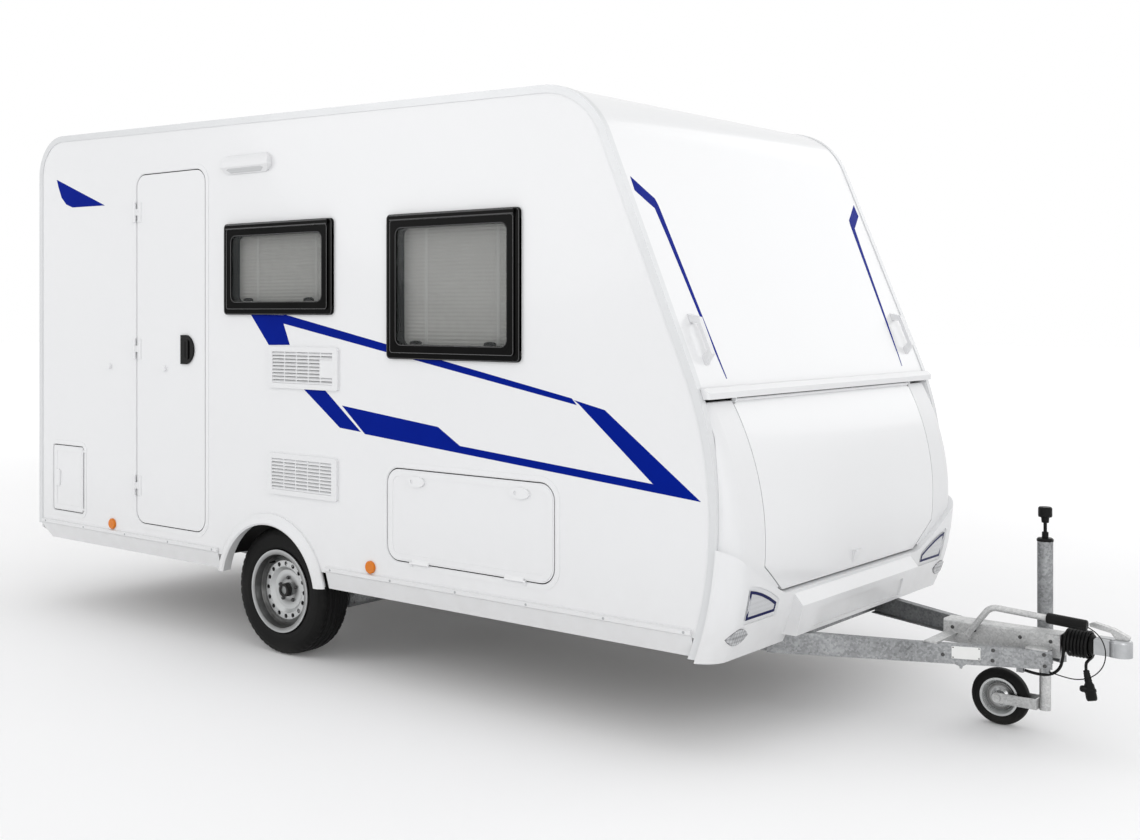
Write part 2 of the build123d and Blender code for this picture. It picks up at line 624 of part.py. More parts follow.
with BuildPart() as front_bumper:
    add(bumper_outer)
    add(bumper_inner, mode=Mode.SUBTRACT)
    with BuildSketch(front_plane):
        with BuildLine():
            Polyline(
                (0.0, BUMPER_FOOT_Z - GAP),
                (0.0, BUMPER_TOP_Z),
                (POD[0][0] + 40.0, BUMPER_TOP_Z),
                POD[0],
            )
            ThreePointArc(*POD)
            Polyline(POD[2], (-NOSE_OUT_Y, BUMPER_FOOT_Z - GAP), (0.0, BUMPER_FOOT_Z - GAP))
        make_face()
        mirror(about=Plane.YZ)
    extrude(amount=FRONT_DEPTH, mode=Mode.INTERSECT)
    wall_zone()
    add(lens_pockets.part, mode=Mode.SUBTRACT)
    add(lens_recess.part, mode=Mode.SUBTRACT)
    with BuildSketch(Plane.XZ.offset(SILL_HALF)):
        with BuildLine():
            Polyline(*SILL, close=True)
        make_face()
    extrude(amount=-2 * SILL_HALF)
    with BuildSketch(Plane.XZ.offset(SILL_PANEL_HALF)):
        with BuildLine():
            Polyline(*SILL_PANEL, close=True)
        make_face()
    extrude(amount=-2 * SILL_PANEL_HALF, mode=Mode.SUBTRACT)
    with BuildSketch(front_plane):
        with Locations((0.0, SILL_FOOT_Z - 50.0)):
            Rectangle(2 * (SILL_HALF - 30.0), 100.0)
    extrude(amount=FRONT_DEPTH, mode=Mode.SUBTRACT)
front_bumper.part.label = "front_bumper"
export_step(front_bumper.part, "parts/front_bumper.step")

with BuildPart() as front_reflectors:
    with BuildSketch(front_plane):
        reflector_outline(0.0)
        mirror(about=Plane.YZ)
    extrude(amount=FRONT_DEPTH)
    add(bumper_seat, mode=Mode.SUBTRACT)
    add(lens_face, mode=Mode.INTERSECT)
front_reflectors.part.label = "front_reflectors"
export_step(front_reflectors.part, "parts/front_reflectors.step")

with BuildPart() as front_lamps:
    with BuildSketch(front_plane):
        lamp_outline(0.0)
        mirror(about=Plane.YZ)
    extrude(amount=FRONT_DEPTH)
    add(bumper_seat, mode=Mode.SUBTRACT)
    add(lamp_face, mode=Mode.INTERSECT)
front_lamps.part.label = "front_lamps"
export_step(front_lamps.part, "parts/front_lamps.step")

# Hinge rail across the front, on the foot of the upper front panel
RAIL_HALF = HALF_WIDTH - 15.0
RAIL_TOP_Z = 1341.0
RAIL_DEPTH = 30.0
with BuildPart() as hinge_rail:
    with BuildSketch(Plane.XZ.offset(RAIL_HALF)):
        with BuildLine():
            Polyline(
                (belly_edge(RAIL_Z, TRIM_T) + 1.0, RAIL_Z),
                (belly_edge(RAIL_Z) + RAIL_DEPTH, RAIL_Z),
                (belly_edge(RAIL_Z) + RAIL_DEPTH, RAIL_Z + 22.0),
                (belly_edge(RAIL_TOP_Z) + RAIL_DEPTH - 8.0, RAIL_TOP_Z),
                (belly_edge(RAIL_TOP_Z, TRIM_T) + 1.0, RAIL_TOP_Z),
                close=True,
            )
        make_face()
    extrude(amount=-2 * RAIL_HALF)
    corners = hinge_rail.edges().filter_by(Axis.Z)
    fillet(corners, 12.0)
    for side in (-1, 1):
        with BuildSketch(Plane.XZ.offset(-side * EAR_IN_Y)):
            with Locations((LID_AXIS_X, LID_AXIS_Z)):
                Circle(EAR_R)
            with Locations((LID_AXIS_X + EAR_R / 2, (LID_AXIS_Z + RAIL_Z + 4.0) / 2)):
                Rectangle(EAR_R, RAIL_Z + 4.0 - LID_AXIS_Z)
            with Locations((LID_AXIS_X, LID_AXIS_Z)):
                Circle(LID_PIN_R + FIT, mode=Mode.SUBTRACT)
        extrude(amount=-side * (EAR_OUT_Y - EAR_IN_Y))
hinge_rail.part.label = "hinge_rail"
export_step(hinge_rail.part, "parts/hinge_rail.step")

# Skirts: a rail along the wall's foot with a panel leaning inwards below it
SKIRT_FOOT_Z = 368.0
SKIRT = [
    (-HALF_WIDTH - 0.2, 470.0),
    (-HALF_WIDTH - 15.0, 466.0),
    (-HALF_WIDTH - 15.0, 451.0),
    (-HALF_WIDTH - 5.0, 445.0),
    (-HALF_WIDTH + 17.0, SKIRT_FOOT_Z),
    (-HALF_WIDTH + 33.0, SKIRT_FOOT_Z),
    (-HALF_WIDTH + 15.0, WALL_FOOT_Z - 1.0),
    (-HALF_WIDTH - 0.2, WALL_FOOT_Z - 1.0),
]
SKIRT_REAR_X = REAR_X + 37.0
SKIRT_FRONT_X = BODY_FRONT_X - 101.0
SKIRT_SLANT = [
    (SKIRT_REAR_X - 9.0, SKIRT_FOOT_Z + 64.0),
    (SKIRT_REAR_X + 70.0, SKIRT_FOOT_Z - 8.0),
    (SKIRT_REAR_X - 9.0, SKIRT_FOOT_Z - 8.0),
]
SKIRT_ARCH_GAP = ARCH_OUT_R + 4.0
with BuildPart() as side_skirts:
    for start, end in (
        (SKIRT_REAR_X, WHEEL_X - SKIRT_ARCH_GAP),
        (WHEEL_X + SKIRT_ARCH_GAP, SKIRT_FRONT_X),
    ):
        with BuildSketch(Plane.YZ.offset(start)):
            with BuildLine():
                Polyline(*SKIRT, close=True)
            make_face()
        extrude(amount=end - start)
    # the rear foot is cut off at a slant
    with BuildSketch(Plane.XZ.offset(HALF_WIDTH + SIDE_PROUD)):
        with BuildLine():
            Polyline(*SKIRT_SLANT, close=True)
        make_face()
    extrude(amount=-3 * SIDE_PROUD, mode=Mode.SUBTRACT)
    mirror(about=Plane.XZ)
side_skirts.part.label = "side_skirts"
export_step(side_skirts.part, "parts/side_skirts.step")

# Wheel arches: a domed half ring on each wall, its lip turned into the wall's cut
wheel_plane = Plane(origin=(WHEEL_X, 0, WHEEL_R), x_dir=(0, -1, 0), z_dir=(1, 0, 0))
ARCH_SECTION = [
    (HALF_WIDTH + 0.2, ARCH_OUT_R),
    (HALF_WIDTH + 10.0, ARCH_OUT_R),
    (HALF_WIDTH + SIDE_PROUD - 4.0, ARCH_OUT_R - 20.0),
    (HALF_WIDTH + SIDE_PROUD, ARCH_IN_R + 8.0),
    (HALF_WIDTH + SIDE_PROUD - 6.0, ARCH_IN_R),
    (INNER_HALF, ARCH_IN_R + 12.0),
    (INNER_HALF, ARCH_CUT_R - 2.0),
    (HALF_WIDTH + 0.2, ARCH_CUT_R - 2.0),
]
wheel_axis = Axis((WHEEL_X, 0, WHEEL_R), (0, 1, 0))
with BuildPart() as wheel_arches:
    with BuildSketch(wheel_plane):
        with BuildLine():
            Polyline(*[(y, -r) for y, r in ARCH_SECTION], close=True)
        make_face()
    revolve(axis=wheel_axis)
    split(bisect_by=Plane.XY.offset(ARCH_FOOT_Z), keep=Keep.TOP)
    mirror(about=Plane.XZ)
wheel_arches.part.label = "wheel_arches"
export_step(wheel_arches.part, "parts/wheel_arches.step")

# Wheel boxes over the wheels, inside the cabin
with BuildPart() as wheel_boxes:
    with BuildSketch(Plane.XZ.offset(BOX_Y)):
        with Locations((WHEEL_X, WHEEL_R)):
            Circle(BOX_R)
        with Locations((WHEEL_X, (WALL_FOOT_Z + WHEEL_R) / 2)):
            Rectangle(2 * BOX_R, WALL_FOOT_Z - WHEEL_R)
    extrude(amount=INNER_HALF - FIT - BOX_Y)
    with BuildSketch(Plane.XZ.offset(BOX_Y + BOX_WALL)):
        with Locations((WHEEL_X, WHEEL_R)):
            Circle(BOX_R - BOX_WALL)
            Rectangle(2 * (BOX_R - BOX_WALL), 2 * (WALL_FOOT_Z - WHEEL_R))
    extrude(amount=INNER_HALF - BOX_Y, mode=Mode.SUBTRACT)
    split(bisect_by=Plane.XY.offset(WALL_FOOT_Z), keep=Keep.TOP)
    mirror(about=Plane.XZ)
wheel_boxes.part.label = "wheel_boxes"
export_step(wheel_boxes.part, "parts/wheel_boxes.step")

# Windows: a stepped black frame through the wall, a clear pane and a blind behind each
FRAME_PROUD = 14.0
BORDER_PROUD = 21.0
PANE_T = 4.0
BLIND_T = 3.0
HINGE_STEPS = [(38.0, BORDER_PROUD - 2.0), (20.0, BORDER_PROUD + 3.0)]     # height, how far it stands off
with BuildPart() as window_frames:
    for side, x, z, width, height in WINDOW_TABLE:
        for inset, corner, reach in (
            (0.0, WINDOW_R, FRAME_PROUD),
            (WINDOW_FLANGE, WINDOW_R - 13.0, BORDER_PROUD),
        ):
            with BuildSketch(Plane.XZ.offset(-side * (HALF_WIDTH + 0.2))):
                with Locations((x, z)):
                    RectangleRounded(width - 2 * inset, height - 2 * inset, corner)
            extrude(amount=-side * reach)
        # the pane's hinge profile along the top
        for rise, reach in HINGE_STEPS:
            with BuildSketch(Plane.XZ.offset(-side * (HALF_WIDTH + 0.2))):
                with Locations((x, z + height / 2 - 6.0 - rise / 2)):
                    RectangleRounded(width - WINDOW_R, rise, 6.0)
            extrude(amount=-side * reach)
        with BuildSketch(Plane.XZ.offset(-side * (HALF_WIDTH + 0.2))):
            with Locations((x, z)):
                RectangleRounded(
                    width - 2 * WINDOW_FLANGE - 2 * FIT,
                    height - 2 * WINDOW_FLANGE - 2 * FIT,
                    WINDOW_R - WINDOW_FLANGE / 2 - FIT,
                )
        extrude(amount=side * (WALL + 0.2))
        with BuildSketch(Plane.XZ.offset(-side * (INNER_HALF - GAP))):
            with Locations((x, z)):
                RectangleRounded(width - 2 * WINDOW_BORDER, height - 2 * WINDOW_BORDER, 30.0)
        extrude(amount=-side * (WALL + SIDE_PROUD), mode=Mode.SUBTRACT)
window_frames.part.label = "window_frames"
export_step(window_frames.part, "parts/window_frames.step")

with BuildPart() as window_panes:
    for side, x, z, width, height in WINDOW_TABLE:
        with BuildSketch(Plane.XZ.offset(-side * (HALF_WIDTH + BORDER_PROUD - 10.0))):
            with Locations((x, z)):
                RectangleRounded(
                    width - 2 * WINDOW_BORDER - 2 * FIT,
                    height - 2 * WINDOW_BORDER - 2 * FIT,
                    30.0 - FIT,
                )
        extrude(amount=-side * PANE_T)
window_panes.part.label = "window_panes"
export_step(window_panes.part, "parts/window_panes.step")

with BuildPart() as window_blinds:
    for side, x, z, width, height in WINDOW_TABLE:
        with BuildSketch(Plane.XZ.offset(-side * (INNER_HALF - FIT))):
            with Locations((x, z)):
                Rectangle(width - WINDOW_BORDER, height - WINDOW_BORDER)
        extrude(amount=side * BLIND_T)
window_blinds.part.label = "window_blinds"
export_step(window_blinds.part, "parts/window_blinds.step")

# Refrigerator grilles: a frame with leaning slats and ribs, a plain flue cover on the upper one
GRILLE_PROUD = 12.0
SLATS = 9
SLAT_T = 5.0
COLUMNS = 5                 # of slots, with a rib between
FLUE_ROWS = 5               # slats behind the flue cover
with BuildPart() as fridge_grilles:
    for x, z, width, height in GRILLE_TABLE:
        inner_w = width - 4 * GRILLE_LAP
        inner_h = height - 3 * GRILLE_LAP
        with BuildSketch(Plane.XZ.offset(HALF_WIDTH + 0.2)):
            with Locations((x, z)):
                RectangleRounded(width, height, 10.0)
                Rectangle(inner_w, inner_h, mode=Mode.SUBTRACT)
        extrude(amount=GRILLE_PROUD)
        with BuildSketch(Plane.XZ.offset(HALF_WIDTH + 0.2)):
            with Locations((x, z)):
                with GridLocations(inner_w / COLUMNS, 0, COLUMNS - 1, 1):
                    Rectangle(7.0, inner_h + 4.0)
        extrude(amount=GRILLE_PROUD - 5.0)
        pitch = inner_h / SLATS
        for slat in range(SLATS):
            slat_z = z - inner_h / 2 + (slat + 0.5) * pitch
            with BuildSketch(Plane.YZ.offset(x - inner_w / 2 - 2.0)):
                with BuildLine():
                    Polyline(
                        (-HALF_WIDTH - GRILLE_PROUD + 1.0, slat_z - pitch / 2 + 1.0),
                        (-HALF_WIDTH - GRILLE_PROUD + 1.0, slat_z - pitch / 2 + 1.0 + SLAT_T),
                        (-HALF_WIDTH - 1.0, slat_z + pitch / 2 - 1.0),
                        (-HALF_WIDTH - 1.0, slat_z + pitch / 2 - 1.0 - SLAT_T),
                        close=True,
                    )
                make_face()
            extrude(amount=inner_w + 4.0)
    x, z, width, height = GRILLE_TABLE[0]
    inner_w = width - 4 * GRILLE_LAP
    inner_h = height - 3 * GRILLE_LAP
    with BuildSketch(Plane.XZ.offset(HALF_WIDTH + 0.2)):
        with Locations((x + (inner_w - inner_w / COLUMNS) / 2, z)):
            Rectangle(inner_w / COLUMNS + 2.0, inner_h * FLUE_ROWS / SLATS)
    extrude(amount=GRILLE_PROUD)
fridge_grilles.part.label = "fridge_grilles"
export_step(fridge_grilles.part, "parts/fridge_grilles.step")

# Awning lamp over the kitchen window: a round-ended hood, its lens face leaning back under the edge
LAMP_X = REAR_X + 1759.0
LAMP_MID_Z = 2322.0
LAMP_LENGTH = 336.0
LAMP_HEIGHT = 90.0
LAMP_EDGE_DROP = 12.0       # lower edge of the hood under the lamp's middle
LAMP_EDGE_T = 9.0
LAMP_FOOT_OUT = 8.0         # foot of the lens face off the wall
LAMP_HOOD = [
    (-HALF_WIDTH - 0.2, LAMP_MID_Z - LAMP_HEIGHT / 2 - 1.0),
    (-HALF_WIDTH - 0.2, LAMP_MID_Z + LAMP_HEIGHT / 2 + 1.0),
    (-HALF_WIDTH - 6.0, LAMP_MID_Z + LAMP_HEIGHT / 2 + 1.0),
    (-HALF_WIDTH - SIDE_PROUD, LAMP_MID_Z - LAMP_EDGE_DROP + LAMP_EDGE_T),
    (-HALF_WIDTH - SIDE_PROUD, LAMP_MID_Z - LAMP_EDGE_DROP),
    (-HALF_WIDTH - LAMP_FOOT_OUT, LAMP_MID_Z - LAMP_HEIGHT / 2 - 1.0),
]
hood_bulge = (-HALF_WIDTH - SIDE_PROUD + 7.0, LAMP_MID_Z + 24.0)
with BuildPart() as awning_lamp:
    with BuildSketch(Plane.XZ.offset(HALF_WIDTH + 0.2)):
        with Locations((LAMP_X, LAMP_MID_Z)):
            RectangleRounded(LAMP_LENGTH, LAMP_HEIGHT, 0.44 * LAMP_HEIGHT)
    extrude(amount=SIDE_PROUD - 0.2)
    with BuildSketch(Plane.YZ.offset(LAMP_X - LAMP_LENGTH)):
        with BuildLine():
            Polyline(*LAMP_HOOD[3:], *LAMP_HOOD[:3])
            ThreePointArc(LAMP_HOOD[2], hood_bulge, LAMP_HOOD[3])
        make_face()
    extrude(amount=2 * LAMP_LENGTH, mode=Mode.INTERSECT)
awning_lamp.part.label = "awning_lamp"
export_step(awning_lamp.part, "parts/awning_lamp.step")

# Amber side markers on the skirt rail
MARKER_TABLE = [(REAR_X + 681.0, 500.0), (REAR_X + 2576.0, 500.0)]
with BuildPart() as side_markers:
    for x, z in MARKER_TABLE:
        with BuildSketch(Plane.XZ.offset(HALF_WIDTH + 0.2)):
            with Locations((x, z)):
                Circle(28.0)
        extrude(amount=12.0)
    chamfer(side_markers.faces().filter_by(Axis.Y).group_by(Axis.Y)[0].edges(), 4.0)
    mirror(about=Plane.XZ)
side_markers.part.label = "side_markers"
export_step(side_markers.part, "parts/side_markers.step")

# Grab handles on the front and rear panels: a bar on two feet
HANDLE_LENGTH = 205.0
HANDLE_STAND = 42.0         # front handles
REAR_HANDLE_STAND = 26.0
HANDLE_W = 26.0
HANDLE_T = 15.0
rake_out = (cos(radians(RAKE_DEG)), 0, sin(radians(RAKE_DEG)))
rake_up = (-sin(radians(RAKE_DEG)), 0, cos(radians(RAKE_DEG)))
GRAB_Y = HALF_WIDTH - 125.0
FRONT_GRAB_Z = 1515.0
REAR_GRAB_Z = 1150.0
rake_front_x = BELLY_X + BELLY_R / cos(radians(RAKE_DEG))     # raked panel, drawn down to BELLY_Z
front_grab_x = rake_front_x - (FRONT_GRAB_Z - BELLY_Z) * tan(radians(RAKE_DEG))
HANDLE_TABLE = [
    (front_grab_x, GRAB_Y, FRONT_GRAB_Z, rake_up, rake_out, HANDLE_STAND),
    (REAR_X, GRAB_Y, REAR_GRAB_Z, (0, 0, 1), (-1, 0, 0), REAR_HANDLE_STAND),
]
with BuildPart() as grab_handles:
    for x, y, z, along, outward, stand in HANDLE_TABLE:
        flat = Vector(*along).cross(Vector(*outward))
        side_plane = Plane(origin=(x, y, z), x_dir=along, z_dir=flat)
        with BuildSketch(side_plane):
            with BuildLine():
                Polyline(
                    (-HANDLE_LENGTH / 2, 0.5),
                    (-HANDLE_LENGTH / 2 + 30.0, stand),
                    (HANDLE_LENGTH / 2 - 30.0, stand),
                    (HANDLE_LENGTH / 2, 0.5),
                    (HANDLE_LENGTH / 2 - 34.0, 0.5),
                    (HANDLE_LENGTH / 2 - 48.0, stand - HANDLE_T),
                    (-HANDLE_LENGTH / 2 + 48.0, stand - HANDLE_T),
                    (-HANDLE_LENGTH / 2 + 34.0, 0.5),
                    close=True,
                )
            make_face()
        extrude(amount=HANDLE_W / 2, both=True)
    mirror(about=Plane.XZ)
grab_handles.part.label = "grab_handles"
export_step(grab_handles.part, "parts/grab_handles.step")

# Rooflight: a frame through the roof and a tinted dome over it
with BuildPart() as rooflight_frame:
    with BuildSketch(roof_plane.offset(0.2)):
        RectangleRounded(ROOFLIGHT_FRAME, ROOFLIGHT_FRAME, 60.0)
    extrude(amount=24.0)
    with BuildSketch(roof_plane.offset(0.2)):
        RectangleRounded(ROOFLIGHT_CUT - 2 * FIT, ROOFLIGHT_CUT - 2 * FIT, 40.0 - FIT)
    extrude(amount=-WALL - 0.2)
    with BuildSketch(roof_plane.offset(-2 * WALL)):
        RectangleRounded(ROOFLIGHT_CUT - 40.0, ROOFLIGHT_CUT - 40.0, 30.0)
    extrude(amount=4 * WALL, mode=Mode.SUBTRACT)
rooflight_frame.part.label = "rooflight_frame"
export_step(rooflight_frame.part, "parts/rooflight_frame.step")

with BuildPart() as rooflight_dome:
    with BuildSketch(roof_plane.offset(24.4)):
        RectangleRounded(ROOFLIGHT_FRAME - 40.0, ROOFLIGHT_FRAME - 40.0, 60.0)
    extrude(amount=40.0)
    chamfer(rooflight_dome.faces().sort_by(Axis.Z)[-1].edges(), 22.0)
    offset(amount=-4.0, openings=rooflight_dome.faces().sort_by(Axis.Z)[0])
rooflight_dome.part.label = "rooflight_dome"
export_step(rooflight_dome.part, "parts/rooflight_dome.step")

# Rear bumper with its blank plate recess, and the lamp clusters
REAR_BUMPER_T = 20.0
REAR_BUMPER_HALF = HALF_WIDTH - 25.0
REAR_BUMPER_FOOT_Z = 372.0
REAR_BUMPER_TOP_Z = 690.0
REAR_LAMP = (REAR_BUMPER_HALF - 140.0, 570.0, 210.0, 150.0)    # centre Y, centre Z, width, height
with BuildPart() as rear_bumper:
    with BuildSketch(Plane.YZ.offset(REAR_X - TRIM_T - 0.5)):
        with BuildLine():
            Polyline(
                (-REAR_BUMPER_HALF, REAR_BUMPER_FOOT_Z + 40.0),
                (-REAR_BUMPER_HALF + 60.0, REAR_BUMPER_FOOT_Z),
                (REAR_BUMPER_HALF - 60.0, REAR_BUMPER_FOOT_Z),
                (REAR_BUMPER_HALF, REAR_BUMPER_FOOT_Z + 40.0),
                (REAR_BUMPER_HALF, REAR_BUMPER_TOP_Z),
                (-REAR_BUMPER_HALF, REAR_BUMPER_TOP_Z),
                close=True,
            )
        make_face()
        for side in (-1, 1):
            with Locations((side * REAR_LAMP[0], REAR_LAMP[1])):
                Rectangle(REAR_LAMP[2], REAR_LAMP[3], mode=Mode.SUBTRACT)
    extrude(amount=-REAR_BUMPER_T + TRIM_T)
    with BuildSketch(Plane.YZ.offset(REAR_X - REAR_BUMPER_T - 1.0)):
        with Locations((0.0, 540.0)):
            Rectangle(560.0, 150.0)
    extrude(amount=8.0, mode=Mode.SUBTRACT)
rear_bumper.part.label = "rear_bumper"
export_step(rear_bumper.part, "parts/rear_bumper.step")

with BuildPart() as rear_lamps:
    for side in (-1, 1):
        with BuildSketch(Plane.YZ.offset(REAR_X - 0.5)):
            with Locations((side * REAR_LAMP[0], REAR_LAMP[1])):
                Rectangle(REAR_LAMP[2] - 2.0, REAR_LAMP[3] - 2.0)
        extrude(amount=-REAR_PROUD + 0.5)
rear_lamps.part.label = "rear_lamps"
export_step(rear_lamps.part, "parts/rear_lamps.step")

# Chassis: two longitudinal channels, tapered to the rear, and cross members under the floor
RAIL_Y = HALF_WIDTH - 521.0         # outer face of a chassis channel
CHANNEL_W = 45.0
CHANNEL_T = 4.0
CROSS_X = BODY_FRONT_X - 109.0
CROSS_HALF_T = 22.0
CHASSIS_FOOT_Z = 300.0
CHASSIS_REAR_X = REAR_X + 183.0
CHASSIS = [
    (CHASSIS_REAR_X, CHASSIS_FOOT_Z + 85.0),
    (WHEEL_X - 337.0, CHASSIS_FOOT_Z),
    (CROSS_X - CROSS_HALF_T, CHASSIS_FOOT_Z),
    (CROSS_X - CROSS_HALF_T, WALL_FOOT_Z - 0.2),
    (CHASSIS_REAR_X, WALL_FOOT_Z - 0.2),
]
with BuildPart() as chassis_rails:
    with BuildSketch(Plane.XZ.offset(RAIL_Y)):
        with BuildLine():
            Polyline(*CHASSIS, close=True)
        make_face()
    extrude(amount=-CHANNEL_W)
    with BuildSketch(Plane.XZ.offset(RAIL_Y - CHANNEL_T)):
        with BuildLine():
            Polyline(*CHASSIS, close=True)
        make_face()
        offset(amount=-CHANNEL_T, mode=Mode.REPLACE)
    extrude(amount=-CHANNEL_W, mode=Mode.SUBTRACT)
    mirror(about=Plane.XZ)
chassis_rails.part.label = "chassis_rails"
export_step(chassis_rails.part, "parts/chassis_rails.step")

# Drawbar arms: channels from the front cross member in to the hitch
ARM_FRONT_X = HITCH_X - 252.0
ARM_FRONT_Y = 80.0
ARM_TOP_Z = 372.0
ARM_FOOT_Z = 303.0
ARM_W = 34.0                # flange of an arm
arm_dx = ARM_FRONT_X - CROSS_X
arm_dy = RAIL_Y - ARM_FRONT_Y
arm_length = hypot(arm_dx, arm_dy)
arm_dir = Vector(-arm_dx / arm_length, -arm_dy / arm_length, 0)
arm_out = arm_dir.cross(Vector(0, 0, 1))
arm_plane = Plane(origin=(ARM_FRONT_X, -ARM_FRONT_Y, 0), x_dir=arm_dir, z_dir=arm_out)
ARM = [
    (0.0, ARM_FOOT_Z),
    (0.0, ARM_TOP_Z),
    (480.0, ARM_TOP_Z),
    (arm_length + 40.0, 382.0),
    (arm_length + 40.0, 292.0),
]
# Lugs under the right arm: back from the arm's front, in from its outer face, length, width, foot Z
LUG_TABLE = [
    (94.0, 17.6, 24.0, 20.0, 283.0),
    (11.0, 5.9, 22.0, 12.0, 288.0),
]
with BuildPart() as drawbar_arms:
    with BuildSketch(arm_plane):
        with BuildLine():
            Polyline(*ARM, close=True)
        make_face()
    extrude(amount=ARM_W)
    with BuildSketch(arm_plane.offset(CHANNEL_T)):
        with BuildLine():
            Polyline(*ARM, close=True)
        make_face()
        offset(amount=-CHANNEL_T, mode=Mode.REPLACE)
    extrude(amount=CHANNEL_W, mode=Mode.SUBTRACT)
    split(bisect_by=Plane.YZ.offset(CROSS_X + CROSS_HALF_T), keep=Keep.TOP)
    mirror(about=Plane.XZ)
    # cable gland and breakaway eyelet under the right arm
    for back, inward, length, width, foot in LUG_TABLE:
        lug_y = inward - ARM_FRONT_Y - back * arm_dy / arm_dx
        with BuildSketch(Plane.XY.offset(foot)):
            with Locations((ARM_FRONT_X - back - length / 2, lug_y)):
                Rectangle(length, width)
        extrude(amount=ARM_FOOT_Z + 1.0 - foot)
drawbar_arms.part.label = "drawbar_arms"
export_step(drawbar_arms.part, "parts/drawbar_arms.step")

CROSS_H = 40.0              # middle and rear members
CROSS_FRONT_FOOT_Z = 301.0  # the front member carries the arms
CROSS_FRONT_TOP_Z = 431.0
CROSS_TABLE = [
    (CROSS_X, RAIL_Y),
    (WHEEL_X + 1163.0, RAIL_Y - CHANNEL_T - FIT),
    (REAR_X + 483.0, RAIL_Y - CHANNEL_T - FIT),
]
with BuildPart() as cross_members:
    for x, reach in CROSS_TABLE:
        with BuildSketch(Plane.XZ.offset(reach)):
            with Locations((x, WALL_FOOT_Z - 26.0)):
                Rectangle(2 * CROSS_HALF_T, CROSS_H)
        extrude(amount=-2 * reach)
    with BuildSketch(Plane.XZ.offset(RAIL_Y)):
        with Locations((CROSS_X, (CROSS_FRONT_FOOT_Z + CROSS_FRONT_TOP_Z) / 2)):
            Rectangle(2 * CROSS_HALF_T, CROSS_FRONT_TOP_Z - CROSS_FRONT_FOOT_Z)
    extrude(amount=-2 * RAIL_Y)
cross_members.part.label = "cross_members"
export_step(cross_members.part, "parts/cross_members.step")

# Axle: a six-sided beam under the rails, trailing arms with spindles on its ends
SWING = 150.0               # axle beam ahead of the wheel
BEAM_X = WHEEL_X + SWING
BEAM_Z = 245.0
BEAM_R = 50.0
ARM_T = 30.0
SWING_R = 45.0              # round ends of a trailing arm
SPINDLE_R = 20.0
DISC_OFFSET = 26.0          # rim's disc, out from the middle of the tyre
DISC_Y = WHEEL_Y + DISC_OFFSET
DRUM_DEPTH = 135.0
DRUM_IN_Y = DISC_Y - DRUM_DEPTH     # inner face of a brake drum
BEAM_HALF = DRUM_IN_Y - 110.0
BRACKET = 150.0             # length of an axle bracket under a rail
with BuildPart() as axle_beam:
    with BuildSketch(Plane.XZ.offset(BEAM_HALF)):
        with Locations((BEAM_X, BEAM_Z)):
            RegularPolygon(BEAM_R, 6, rotation=30)
    extrude(amount=-2 * BEAM_HALF)
    for side in (-1, 1):
        with BuildSketch(Plane.XZ.offset(-side * RAIL_Y)):
            with Locations((BEAM_X, (BEAM_Z + CHASSIS_FOOT_Z - FIT) / 2)):
                Rectangle(BRACKET, CHASSIS_FOOT_Z - FIT - BEAM_Z)
        extrude(amount=side * CHANNEL_W)
axle_beam.part.label = "axle_beam"
export_step(axle_beam.part, "parts/axle_beam.step")

with BuildPart() as swing_arms:
    with BuildSketch(Plane.XZ.offset(BEAM_HALF + 0.5)):
        with Locations((BEAM_X, BEAM_Z), (WHEEL_X, WHEEL_R)):
            Circle(SWING_R)
        with BuildLine():
            Polyline(
                (BEAM_X, BEAM_Z - SWING_R),
                (BEAM_X, BEAM_Z + SWING_R),
                (WHEEL_X, WHEEL_R + SWING_R),
                (WHEEL_X, WHEEL_R - SWING_R),
                close=True,
            )
        make_face()
    extrude(amount=ARM_T)
    with BuildSketch(Plane.XZ.offset(BEAM_HALF + ARM_T)):
        with Locations((WHEEL_X, WHEEL_R)):
            Circle(SPINDLE_R + 12.0)
    extrude(amount=DRUM_IN_Y - 15.0 - BEAM_HALF - ARM_T)
    with BuildSketch(Plane.XZ.offset(DRUM_IN_Y - 15.0)):
        with Locations((WHEEL_X, WHEEL_R)):
            Circle(118.0)
    extrude(amount=8.0)
    with BuildSketch(Plane.XZ.offset(DRUM_IN_Y - 10.0)):
        with Locations((WHEEL_X, WHEEL_R)):
            Circle(SPINDLE_R)
    extrude(amount=DISC_Y + 25.0 - DRUM_IN_Y)
    mirror(about=Plane.XZ)
swing_arms.part.label = "swing_arms"
export_step(swing_arms.part, "parts/swing_arms.step")

# Hitch: overrun housing on two wing plates, draw tube, bellows and coupling head
HOUSING_LENGTH = 433.0
HOUSING_FRONT_X = HITCH_X - 237.0
HOUSING_REAR_X = HOUSING_FRONT_X - HOUSING_LENGTH
HOUSING_HALF = 45.0
HOUSING_TOP_Z = 427.0
HOUSING_FOOT_Z = 340.0
HOUSING_T = 4.0
DRAW_Z = 398.0
DRAW_R = 22.0
